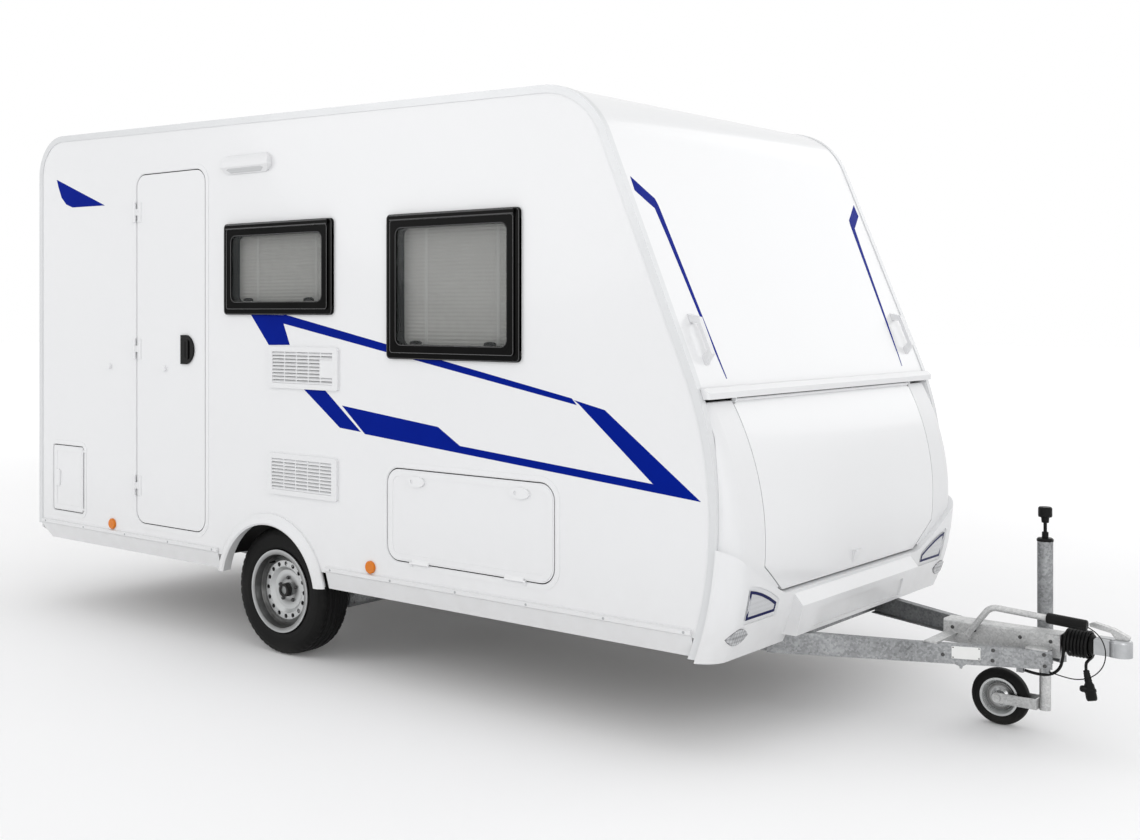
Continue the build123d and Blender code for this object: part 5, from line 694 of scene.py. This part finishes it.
# inset from the frame's edge, corner radius, |Y|
BEADS = [(0.0035, 0.0165, 1.0390), (0.0275, 0.0125, 1.0460), (0.0595, 0.0325, 1.0460)]
HINGE_BEAD_R = 0.0026
HINGE_BEAD_Y = 1.0484
HINGE_BEAD_DROPS = (0.0070, 0.0252)
HINGE_BEAD_MARGIN = 0.055
HINGE_BEAD_H = 0.0012
HINGE_BEAD_CORNER = 0.0005
shapes = []
for name, side, x, z, width, height in WINDOWS:
    for edge, corner, y in BEADS:
        outline = rounded(x, z, width - 2 * edge, height - 2 * edge, corner)
        shapes.append(bead(outline, side * y, BEAD_R))
    for drop in HINGE_BEAD_DROPS:
        mid_z = z + height / 2 - drop
        outline = rounded(x, mid_z, width - HINGE_BEAD_MARGIN, HINGE_BEAD_H, HINGE_BEAD_CORNER)
        shapes.append(bead(outline, side * HINGE_BEAD_Y, HINGE_BEAD_R))
piece("window_beads", joined(*shapes), bead_highlight_black, "body", smooth=True)

# Window rims: the flat flange on the wall and the raised border round the pane, with tight
# corners. Black plastic, clipped over the frame.


def band_faces(count):
    """Faces of a closed band: outer and inner loop of its back, then those of its face."""
    faces = []
    for index in range(count):
        after = (index + 1) % count
        faces.append((index, after, count + after, count + index))
        faces.append((2 * count + index, 3 * count + index, 3 * count + after, 2 * count + after))
        faces.append((index, 2 * count + index, 2 * count + after, after))
        faces.append((count + index, count + after, 3 * count + after, 3 * count + index))
    return faces


def ring(outer, inner, back, face):
    """A band between two outlines in XZ, from one Y to another."""
    verts = []
    for y in (back, face):
        for loop in (outer, inner):
            verts += [(x, y, z) for x, z in loop]
    return verts, band_faces(len(outer))


# inset of the outer and the inner outline, their corner radii, |Y| of the back and the face
RIMS = [(0.0, 0.040, 0.020, 0.030, 1.0246, 1.0394), (0.026, 0.052, 0.014, 0.030, 1.0380, 1.0464)]
shapes = []
for name, side, x, z, width, height in WINDOWS:
    for out_edge, in_edge, outer_r, inner_r, back, face in RIMS:
        outer = rounded(x, z, width - 2 * out_edge, height - 2 * out_edge, outer_r)
        inner = rounded(x, z, width - 2 * in_edge, height - 2 * in_edge, inner_r)
        shapes.append(ring(outer, inner, side * back, side * face))
piece("window_rims", joined(*shapes), frame_black, "body", bevel=0.0012)

# Lamps: clear front lenses over a bright reflector, prismatic front reflectors, amber side markers
# and red rear clusters. Moulded acrylic with fine prisms, set in the mouldings.


def lens(name, colour, rough, prisms, height, deep=0.72):
    """A glossy moulded lens with small prisms behind its face, darker by a share between them."""
    material, tree, shader = new_material(name)
    with_values(shader, Roughness=rough, Coat_Weight=0.25, Specular_IOR_Level=0.3, Coat_Roughness=0.04)
    place = add_node(tree, "TexCoord")
    cells = add_node(tree, "TexVoronoi", Scale=prisms, Randomness=0.15)
    bump = add_node(tree, "Bump", Distance=height, Strength=0.7)
    shade = (*[deep * c for c in colour], 1.0)
    tone = add_node(tree, "Mix", data_type="RGBA", A=(*colour, 1.0), B=shade)
    link(
        tree,
        (place, "Object", cells, "Vector"),
        (cells, "Distance", bump, "Height"),
        (cells, "Distance", tone, "Factor"),
        (tone, "Result", shader, "Base Color"),
        (bump, "Normal", shader, "Normal"),
    )
    return material


amber_lens = lens("amber_lens", (0.86, 0.23, 0.002), rough=0.22, prisms=190.0, height=0.0012, deep=0.5)
dress(amber_lens, "side_markers")
red_lens = lens("red_lens", (0.32, 0.004, 0.004), rough=0.20, prisms=120.0, height=0.0015, deep=0.45)
dress(red_lens, "rear_lamps")
clear_lens = lens("clear_lens", (0.66, 0.67, 0.69), rough=0.12, prisms=62.0, height=0.0040, deep=0.10)
dress(clear_lens, "front_lamps")
prism_white = lens("prism_white", (0.66, 0.67, 0.69), rough=0.26, prisms=230.0, height=0.0012)
dress(prism_white, "front_reflectors")

# Reflector edges: a navy line printed round the face of each front reflector, which bends with
# the nose of the bumper.
edge_navy = surface(
    "edge_navy", (0.001, 0.004, 0.075), (0.001, 0.003, 0.060),
    gloss=(0.30, 0.40), mottle=8.0, grain=(600.0, 0.0001), shine=0.1,
)
NOSE_X, NOSE_Z, NOSE_R = 0.61404, 0.787, 1.054
LENS_R = NOSE_R + 0.020
REFLECTOR = [
    (-0.896, 0.612), (-0.850, 0.6025), (-0.800, 0.588), (-0.738, 0.5645), (-0.676, 0.536),
    (-0.676, 0.500), (-0.892, 0.500),
]
EDGE_W = 0.011
EDGE_SUNK = 0.0006
EDGE_PROUD = 0.0008


def inset(points, width):
    """A convex outline moved inwards by a width."""
    count = len(points)
    area = sum(points[i - 1][0] * points[i][1] - points[i][0] * points[i - 1][1] for i in range(count))
    turn = 1.0 if area > 0 else -1.0
    lines = []
    for index in range(count):
        (ax, ay), (bx, by) = points[index], points[(index + 1) % count]
        length = sqrt((bx - ax) ** 2 + (by - ay) ** 2)
        nx, ny = -turn * (by - ay) / length, turn * (bx - ax) / length
        lines.append((nx, ny, nx * ax + ny * ay + width))
    moved = []
    for index in range(count):
        (a, b, c), (d, e, f) = lines[index - 1], lines[index]
        under = a * e - b * d
        moved.append(((c * e - b * f) / under, (a * f - c * d) / under))
    return moved


shapes = []
for side in (-1, 1):
    verts = []
    for radius in (LENS_R - EDGE_SUNK, LENS_R + EDGE_PROUD):
        for loop in (REFLECTOR, inset(REFLECTOR, EDGE_W)):
            for y, z in loop:
                verts.append((NOSE_X + sqrt(radius**2 - (z - NOSE_Z) ** 2), -side * y, z))
    shapes.append((verts, band_faces(len(REFLECTOR))))
piece("reflector_edges", joined(*shapes), edge_navy, "body")

# Awning lamp lens: a milky acrylic strip set in the sloping face of the lamp over the door, with
# its ends cut back.
lens_milk = lens("lens_milk", (0.66, 0.67, 0.68), rough=0.16, prisms=160.0, height=0.0008)
LAMP_LENS = [
    (-0.118, -0.012), (0.118, -0.012), (0.132, -0.004), (0.106, 0.014), (-0.106, 0.014),
    (-0.132, -0.004),
]
LAMP_LENS_SUNK = 0.0004
LAMP_LENS_T = 0.0020
lamp_mid = Vector((-0.924, -1.0440, 2.2935))
lamp_along = Vector((1.0, 0.0, 0.0))
lamp_down = Vector((0.0, 0.022, -0.0345)).normalized()
lamp_out = Vector((0.0, -0.0345, -0.022)).normalized()
outline = []
for dx, dz in LAMP_LENS:
    outline.append(lamp_mid + lamp_along * dx + lamp_down * dz - lamp_out * LAMP_LENS_SUNK)
shape = prism(outline, lamp_out * LAMP_LENS_T)
piece("awning_lens", shape, lens_milk, "body", bevel=0.0008)

# Roof vent: a milky acrylic dome, drawn in one piece and hinged on the white frame that is
# screwed to the roof.
dome_milk = surface(
    "dome_milk", (0.62, 0.63, 0.64), (0.58, 0.59, 0.60),
    gloss=(0.18, 0.26), mottle=5.0, grain=(500.0, 0.0002), coat=0.4,
)
dress(dome_milk, "rooflight_dome")

# Door handle and wheel boxes: black moulded plastic. The handle is a latch plate with a paddle,
# screwed to the door, and the boxes close the body over the wheels.
dress(plastic_black, "door_handle", "wheel_boxes")

# Seals: a thin black rubber lip round the door and the two hatches, glued to the edge of each
# opening inside the gap.
SEAL = 0.0012
SEAL_BACK = -1.020
SEAL_FACE = -1.002
# X and Z of the middle, width, height, corner radius
OPENINGS = [
    (-1.5175, 1.4255, 0.557, 1.797, 0.070),
    (0.4415, 0.746, 0.903, 0.402, 0.070),
    (-2.409, 0.7065, 0.288, 0.363, 0.020),
]
shapes = []
for x, z, width, height, radius in OPENINGS:
    outer = rounded(x, z, width, height, radius)
    inner = rounded(x, z, width - 2 * SEAL, height - 2 * SEAL, radius - SEAL)
    shapes.append(ring(outer, inner, SEAL_BACK, SEAL_FACE))
piece("door_seals", joined(*shapes), cable_black, "body")

# Tyres: radial road tyres, four grooves and slotted shoulders, plain side walls with raised rings.
# Dull black rubber with dust in the pattern.
tyre_black = surface(
    "tyre_black", (0.004, 0.004, 0.004), (0.008, 0.008, 0.008),
    gloss=(0.50, 0.66), mottle=22.0, grain=(700.0, 0.0005), shine=0.14,
)
dusty(tyre_black, foot=0.0, top=0.08, most=0.06)
WHEEL_X, WHEEL_Z, WHEEL_Y = -0.763, 0.300, 0.879
TREAD_STEPS = 192
SLOT_EVERY = 4
SLOT_SHIFT = 2
SLOT_DEEP = 0.0035
# from the middle of the tread to the rim: along the axle, radius, whether it is slotted
HALF_TYRE = [
    (0.0000, 0.3000, 0), (0.0130, 0.3000, 0), (0.0150, 0.2930, 0), (0.0210, 0.2930, 0),
    (0.0230, 0.2998, 0), (0.0430, 0.2992, 0), (0.0450, 0.2925, 0), (0.0510, 0.2920, 0),
    (0.0530, 0.2982, 1), (0.0640, 0.2968, 1), (0.0720, 0.2945, 1), (0.0790, 0.2895, 1),
    (0.0835, 0.2820, 1), (0.0868, 0.2740, 0), (0.0890, 0.2660, 0), (0.0903, 0.2640, 0),
    (0.0905, 0.2600, 0), (0.0920, 0.2480, 0), (0.0922, 0.2360, 0), (0.0915, 0.2250, 0),
    (0.0918, 0.2230, 0), (0.0912, 0.2190, 0), (0.0900, 0.2110, 0), (0.0880, 0.2030, 0),
    (0.0850, 0.1985, 0), (0.0815, 0.1958, 0), (0.0800, 0.1790, 0),
]
tyre_rows = [(-a, r, slot) for a, r, slot in reversed(HALF_TYRE)] + HALF_TYRE[1:]
for side, name in ((-1, "right"), (1, "left")):
    verts = []
    for along, radius, slotted in tyre_rows:
        for step in range(TREAD_STEPS):
            angle = 2 * pi * step / TREAD_STEPS
            shift = 0 if along > 0 else SLOT_SHIFT
            cut = SLOT_DEEP if slotted and (step + shift) % SLOT_EVERY == 0 else 0.0
            x = WHEEL_X + (radius - cut) * cos(angle)
            z = WHEEL_Z + (radius - cut) * sin(angle)
            verts.append((x, side * WHEEL_Y + along, z))
    shape = (verts, wrap_faces(len(tyre_rows), TREAD_STEPS))
    tyre = piece("road_tyre_" + name, shape, tyre_black, "wheel_" + name, smooth=True)
    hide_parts("tyre_" + name)

# Rims: pressed steel wheels in silver paint, on cast iron brake drums. The well behind the flange
# and a ring round the hub are darkened: painted shade, with some brake dust.
rim_silver = surface(
    "rim_silver", (0.56, 0.57, 0.57), (0.49, 0.50, 0.50),
    gloss=(0.26, 0.36), mottle=7.0, grain=(900.0, 0.0002), metallic=0.8,
)
# Dark rings round an axle: painted shade in a wheel's well and round its hub, with some dust.
shade_dust_tree, shade_dust_in, shade_dust_out = node_group(
    "well_shade_and_dust",
    [
        ("Colour", "Color"), ("Grime", "Color"), ("Centre", "Vector"),
        ("Near", "Float"), ("Far", "Float"), ("Most", "Float"),
    ],
    [("Colour", "Color")],
)
place = add_node(shade_dust_tree, "TexCoord")
arm = add_node(shade_dust_tree, "VectorMath", "SUBTRACT")
flat = add_node(shade_dust_tree, "VectorMath", "MULTIPLY")
flat.inputs[1].default_value = (1.0, 0.0, 1.0)
reach = add_node(shade_dust_tree, "VectorMath", "LENGTH")
across = add_node(shade_dust_tree, "MapRange")
hill = add_math(shade_dust_tree, "PINGPONG", 0.5)
noise = add_node(shade_dust_tree, "TexNoise", Scale=24.0, Detail=4.0)
patch = add_math(shade_dust_tree, "MULTIPLY_ADD", 0.8, 1.4)
shade_ring = add_math(shade_dust_tree, "MULTIPLY")
amount = add_math(shade_dust_tree, "MULTIPLY", clamp=True)
tone = add_node(shade_dust_tree, "Mix", data_type="RGBA")
link(
    shade_dust_tree,
    (place, "Object", arm, 0),
    (shade_dust_in, "Centre", arm, 1),
    (arm, "Vector", flat, 0),
    (flat, "Vector", reach, 0),
    (reach, "Value", across, "Value"),
    (shade_dust_in, "Near", across, "From Min"),
    (shade_dust_in, "Far", across, "From Max"),
    (across, "Result", hill, 0),
    (place, "Object", noise, "Vector"),
    (noise, "Fac", patch, 0),
    (hill, "Value", shade_ring, 0),
    (patch, "Value", shade_ring, 1),
    (shade_ring, "Value", amount, 0),
    (shade_dust_in, "Most", amount, 1),
    (amount, "Value", tone, "Factor"),
    (shade_dust_in, "Colour", tone, "A"),
    (shade_dust_in, "Grime", tone, "B"),
    (tone, "Result", shade_dust_out, "Colour"),
)


def shaded_with_dust(material, centre, rings):
    """Puts dark rings round an axle, of (near, far, most), between its tones and shader: painted shade
    with dust.
    """
    tree = material.node_tree
    colour = (tree.nodes["tones"], "Colour")
    for near, far, most in rings:
        shade_ring = add_group(tree, shade_dust_tree, Grime=(0.045, 0.043, 0.041, 1.0), Centre=centre)
        with_values(shade_ring, Near=near, Far=far, Most=most)
        link(tree, (*colour, shade_ring, "Colour"))
        colour = (shade_ring, "Colour")
    link(tree, (*colour, tree.nodes["Principled BSDF"], "Base Color"))


shaded_with_dust(rim_silver, (WHEEL_X, 0.0, WHEEL_Z), ((0.136, 0.196, 1.0), (0.028, 0.078, 0.75)))
dress(rim_silver, "rim_right", "rim_left")
# Drums near black, darker than cast iron: painted shade seen through the rim's vents.
cast_grey = surface(
    "cast_grey", (0.012, 0.012, 0.012), (0.024, 0.022, 0.021),
    gloss=(0.50, 0.68), mottle=14.0, grain=(350.0, 0.0008), shine=0.3,
)
dress(cast_grey, "drum_right", "drum_left")

# Wheel fittings: five dark zinc-plated bolts, a pressed grey dust cap over the hub and a rubber
# valve pulled through the rim.
bolt_dark = surface(
    "bolt_dark", (0.10, 0.10, 0.10), (0.06, 0.06, 0.06),
    gloss=(0.34, 0.46), mottle=30.0, grain=(800.0, 0.0002), metallic=0.8,
)
cap_grey = surface(
    "cap_grey", (0.30, 0.31, 0.31), (0.24, 0.25, 0.25),
    gloss=(0.34, 0.46), mottle=18.0, grain=(800.0, 0.0002), metallic=0.7,
)
DISC_FACE = 0.911
SEATED = 0.001
BOLTS = 5
BOLT_CIRCLE = 0.056
BOLT_TURN = 0.3
BOLT_HEAD = [
    (0.0, 0.0005), (0.0, 0.0098), (0.003, 0.0098), (0.004, 0.0080), (0.010, 0.0080),
    (0.012, 0.0066), (0.012, 0.0005),
]
DUST_CAP = [
    (0.0, 0.0330), (0.004, 0.0335), (0.008, 0.0315), (0.021, 0.0310), (0.026, 0.0290),
    (0.028, 0.0240), (0.0285, 0.0150), (0.0290, 0.0005),
]
VALVE_CIRCLE = 0.150
VALVE_TURN = 2.2
VALVE_LIFT = 0.008
VALVE_STEM = [
    (0.0, 0.0005), (0.0, 0.0060), (0.012, 0.0055), (0.014, 0.0040), (0.032, 0.0038),
    (0.034, 0.0030), (0.034, 0.0005),
]


def on_wheel(circle, turn, y):
    """A point at a distance and an angle from the axle."""
    return (WHEEL_X + circle * cos(turn), y, WHEEL_Z + circle * sin(turn))


for side, name in ((-1, "right"), (1, "left")):
    body = "wheel_" + name
    axis = (0, side, 0)
    seat = side * (DISC_FACE - SEATED)
    shapes = []
    for bolt in range(BOLTS):
        centre = on_wheel(BOLT_CIRCLE, 2 * pi * bolt / BOLTS + BOLT_TURN, seat)
        shapes.append(lathe(BOLT_HEAD, centre, axis, steps=6))
    piece("wheel_bolts_" + name, joined(*shapes), bolt_dark, body, bevel=0.0008)
    cap = lathe(DUST_CAP, (WHEEL_X, seat, WHEEL_Z), axis, steps=40)
    piece("hub_cap_" + name, cap, cap_grey, body, smooth=True)
    foot = on_wheel(VALVE_CIRCLE, VALVE_TURN, side * (DISC_FACE + VALVE_LIFT))
    stem = lathe(VALVE_STEM, foot, axis, steps=16)
    piece("valve_" + name, stem, cable_black, body, smooth=True)

# Chassis and drawbar: hot-dip galvanised steel, folded channels bolted together. The zinc shows
# crystals of a few millimetres, each with its own tone and gloss.
spangle_tree, spangle_in, spangle_out = node_group(
    "zinc_spangle",
    [("Bright", "Color"), ("Dull", "Color"), ("Scale", "Float")],
    [("Colour", "Color"), ("Roughness", "Float"), ("Normal", "Vector")],
)
place = add_node(spangle_tree, "TexCoord")
cells = add_node(spangle_tree, "TexVoronoi")
grey = add_node(spangle_tree, "SeparateColor")
cloud = add_node(spangle_tree, "TexNoise", Scale=9.0, Detail=6.0)
cloud_share = add_math(spangle_tree, "MULTIPLY", 0.95)
blend = add_math(spangle_tree, "MULTIPLY_ADD", 0.35)
tone = add_node(spangle_tree, "Mix", data_type="RGBA")
gloss = add_node(spangle_tree, "MapRange", To_Min=0.34, To_Max=0.62)
bump = add_node(spangle_tree, "Bump", Distance=0.0005, Strength=0.35)
link(
    spangle_tree,
    (place, "Object", cells, "Vector"),
    (place, "Object", cloud, "Vector"),
    (spangle_in, "Scale", cells, "Scale"),
    (cells, "Color", grey, "Color"),
    (cloud, "Fac", cloud_share, 0),
    (grey, "Red", blend, 0),
    (cloud_share, "Value", blend, 2),
    (blend, "Value", tone, "Factor"),
    (spangle_in, "Bright", tone, "A"),
    (spangle_in, "Dull", tone, "B"),
    (blend, "Value", gloss, "Value"),
    (cloud, "Fac", bump, "Height"),
    (tone, "Result", spangle_out, "Colour"),
    (gloss, "Result", spangle_out, "Roughness"),
    (bump, "Normal", spangle_out, "Normal"),
)


def galvanised(name, bright, dull, scale):
    """Zinc-coated steel with crystals of a scale."""
    material, tree, shader = new_material(name)
    with_values(shader, Metallic=0.85)
    zinc = add_group(tree, spangle_tree, Bright=(*bright, 1.0), Dull=(*dull, 1.0), Scale=scale)
    link(
        tree,
        (zinc, "Colour", shader, "Base Color"),
        (zinc, "Roughness", shader, "Roughness"),
        (zinc, "Normal", shader, "Normal"),
    )
    return material


zinc_dull = galvanised("zinc_dull", (0.52, 0.53, 0.54), (0.19, 0.195, 0.20), scale=130.0)
dress(zinc_dull, "chassis_rails", "drawbar_arms", "cross_members", "axle_beam", "swing_arms")
dress(zinc_dull, "corner_steadies", "jockey_tube")

# Hitch: the overrun housing, handles and jockey clamp in paler zinc, a bright plated coupling
# head, black rubber bellows and black grips pushed on the levers.
zinc_pale = galvanised("zinc_pale", (0.80, 0.80, 0.795), (0.42, 0.425, 0.425), scale=170.0)
dress(zinc_pale, "overrun_housing", "jockey_clamp", "jockey_fork", "brake_lever", "coupling_handle")
zinc_bright = surface(
    "zinc_bright", (0.50, 0.51, 0.52), (0.40, 0.41, 0.42),
    gloss=(0.26, 0.40), mottle=30.0, grain=(800.0, 0.0002), metallic=0.9,
)
dress(zinc_bright, "coupling_head")
dress(plastic_black, "jockey_handle", "brake_grip")
dress(cable_black, "draw_bellows", "jockey_tyre")

# Jockey wheel: a solid black rubber ring with a rounded tread and a raised line on each side,
# pressed on a bright steel rim, darkened in its well and round its hub by painted shade with dirt.
JOCKEY_AXLE = (2.187, 0.160, 0.110)
# from the middle of the tread to the rim: along the axle, radius
HALF_RING = [
    (0.0000, 0.1100), (0.0110, 0.1097), (0.0170, 0.1078), (0.0225, 0.1040), (0.0262, 0.0990),
    (0.0285, 0.0935), (0.0292, 0.0925), (0.0293, 0.0900), (0.0298, 0.0880), (0.0290, 0.0820),
    (0.0260, 0.0765), (0.0240, 0.0745),
]
ring_rows = [(-a, r) for a, r in reversed(HALF_RING)] + HALF_RING[1:]
jockey_silver = surface(
    "jockey_silver", (0.62, 0.63, 0.63), (0.54, 0.55, 0.55),
    gloss=(0.22, 0.32), mottle=16.0, grain=(900.0, 0.0002), metallic=0.85,
)
shaded_with_dust(jockey_silver, JOCKEY_AXLE, ((0.030, 0.064, 1.0), (0.0, 0.020, 0.8)))
dress(jockey_silver, "jockey_rim")
shape = lathe(ring_rows, JOCKEY_AXLE, (0, 1, 0), steps=72)
tyre = piece("jockey_ring", shape, tyre_black, "jockey_wheel", smooth=True)
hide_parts("jockey_tyre")

# Blank plates: a white plate riveted to the right arm and a number plate pressed in the recess
# of the rear bumper. Both are bare sheet, painted white.
plate_white = surface(
    "plate_white", (0.80, 0.80, 0.79), (0.76, 0.76, 0.75),
    gloss=(0.34, 0.46), mottle=18.0, grain=(900.0, 0.0002),
)
ARM_FRONT = Vector((2.458, 0.080, 0.0))
ARM_BACK = Vector((-0.9145, 0.4047, 0.0))
ARM_OUT = Vector((0.4047, 0.9145, 0.0))
RIGHT = -1


def on_arm(side, back, z, lift):
    """A point on the outer face of an arm, a distance back from its front end."""
    place = ARM_FRONT + ARM_BACK * back + ARM_OUT * lift
    return Vector((place.x, side * place.y, z))


def arm_out(side, length):
    """A vector of a length out of the face of an arm."""
    return on_arm(side, 0.0, 0.0, length) - on_arm(side, 0.0, 0.0, 0.0)


ARM_PLATE = [(0.247, 0.3205), (0.348, 0.3205), (0.348, 0.3665), (0.247, 0.3665)]
ARM_PLATE_GAP = 0.0002
ARM_PLATE_T = 0.0014
REAR_PLATE = [(-0.262, 0.484), (0.262, 0.484), (0.262, 0.596), (-0.262, 0.596)]
REAR_PLATE_X = -2.6963
REAR_PLATE_T = 0.0022
outline = [on_arm(RIGHT, back, z, ARM_PLATE_GAP) for back, z in ARM_PLATE]
arm_plate = prism(outline, arm_out(RIGHT, ARM_PLATE_T))
outline = [(REAR_PLATE_X, y, z) for y, z in REAR_PLATE]
rear_plate = prism(outline, (-REAR_PLATE_T, 0.0, 0.0))
piece("blank_plates", joined(arm_plate, rear_plate), plate_white, "body", bevel=0.0006)

# Frame bolts: plated bolts with washers through both arms and the overrun housing, and four
# rivets that hold the plate on the right arm.
WASHER = [
    (0.0, 0.0005), (0.0, 0.0072), (0.0012, 0.0072), (0.0013, 0.0054), (0.0050, 0.0052),
    (0.0054, 0.0042), (0.0054, 0.0005),
]
WASHER_SUNK = 0.0004
RIVET = [(0.0, 0.0005), (0.0, 0.0028), (0.0008, 0.0026), (0.0013, 0.0014), (0.0014, 0.0002)]
# distance back along the arm, Z
ARM_BOLTS = [(0.0287, 0.356), (0.0260, 0.3145), (0.2030, 0.360), (0.2050, 0.322), (0.3790, 0.332)]
PLATE_RIVETS = [(0.252, 0.325), (0.252, 0.362), (0.343, 0.325), (0.343, 0.362)]
HOUSING_BOLTS = (2.075, 2.160, 2.330, 2.440)
HOUSING_FACE = 0.0446
shapes = []
for side in (-1, 1):
    for back, z in ARM_BOLTS:
        shapes.append(lathe(WASHER, on_arm(side, back, z, -WASHER_SUNK), arm_out(side, 1.0), steps=12))
for back, z in PLATE_RIVETS:
    shapes.append(lathe(RIVET, on_arm(RIGHT, back, z, ARM_PLATE_T), arm_out(RIGHT, 1.0), steps=10))
for side in (-1, 1):
    for x in HOUSING_BOLTS:
        shapes.append(lathe(WASHER, (x, side * HOUSING_FACE, DRAW_Z), (0, side, 0), steps=12))
piece("frame_bolts", joined(*shapes), bolt_dark, "body", bevel=0.0003)

# Arm lug: a small galvanised plate under the right arm, cut to a tongue and welded to the edge of
# its lower flange.
LUG = [
    (0.288, 0.3040), (0.342, 0.3040), (0.338, 0.2985), (0.322, 0.2920), (0.318, 0.2825),
    (0.311, 0.2825), (0.308, 0.2920),
]
LUG_INSIDE = 0.0080
LUG_T = 0.0040
outline = [on_arm(RIGHT, back, z, -LUG_INSIDE) for back, z in LUG]
piece("arm_lug", prism(outline, arm_out(RIGHT, LUG_T)), zinc_dull, "body", bevel=0.0008)

# Skirt screws: bright zinc-plated pan heads with a driver recess, along the rail that clamps the
# skirt to each wall.
SCREW = [
    (0.0, 0.0005), (0.0, 0.0055), (0.0012, 0.0052), (0.0022, 0.0036), (0.0025, 0.0016),
    (0.0016, 0.0012), (0.0016, 0.0002),
]
SCREW_X = (-2.610, -2.250, -1.880, -1.520, -1.175, -0.350, 0.020, 0.390, 0.760, 1.130, 1.480)
SCREW_Y = 1.0398
SCREW_Z = 0.4585
shapes = []
for side in (-1, 1):
    for x in SCREW_X:
        shapes.append(lathe(SCREW, (x, side * SCREW_Y, SCREW_Z), (0, side, 0), steps=14))
piece("skirt_screws", joined(*shapes), zinc_bright, "body", smooth=True)

# Floor and bulkhead: plywood boards, the floor's underside sealed dark against the wet. The floor
# lies on the chassis rails and the bulkhead stands on it behind the gas locker.
plywood = surface(
    "plywood", (0.10, 0.085, 0.07), (0.14, 0.12, 0.10),
    gloss=(0.60, 0.80), mottle=6.0, grain=(120.0, 0.0006),
)
dress(plywood, "floor_panel", "bulkhead")
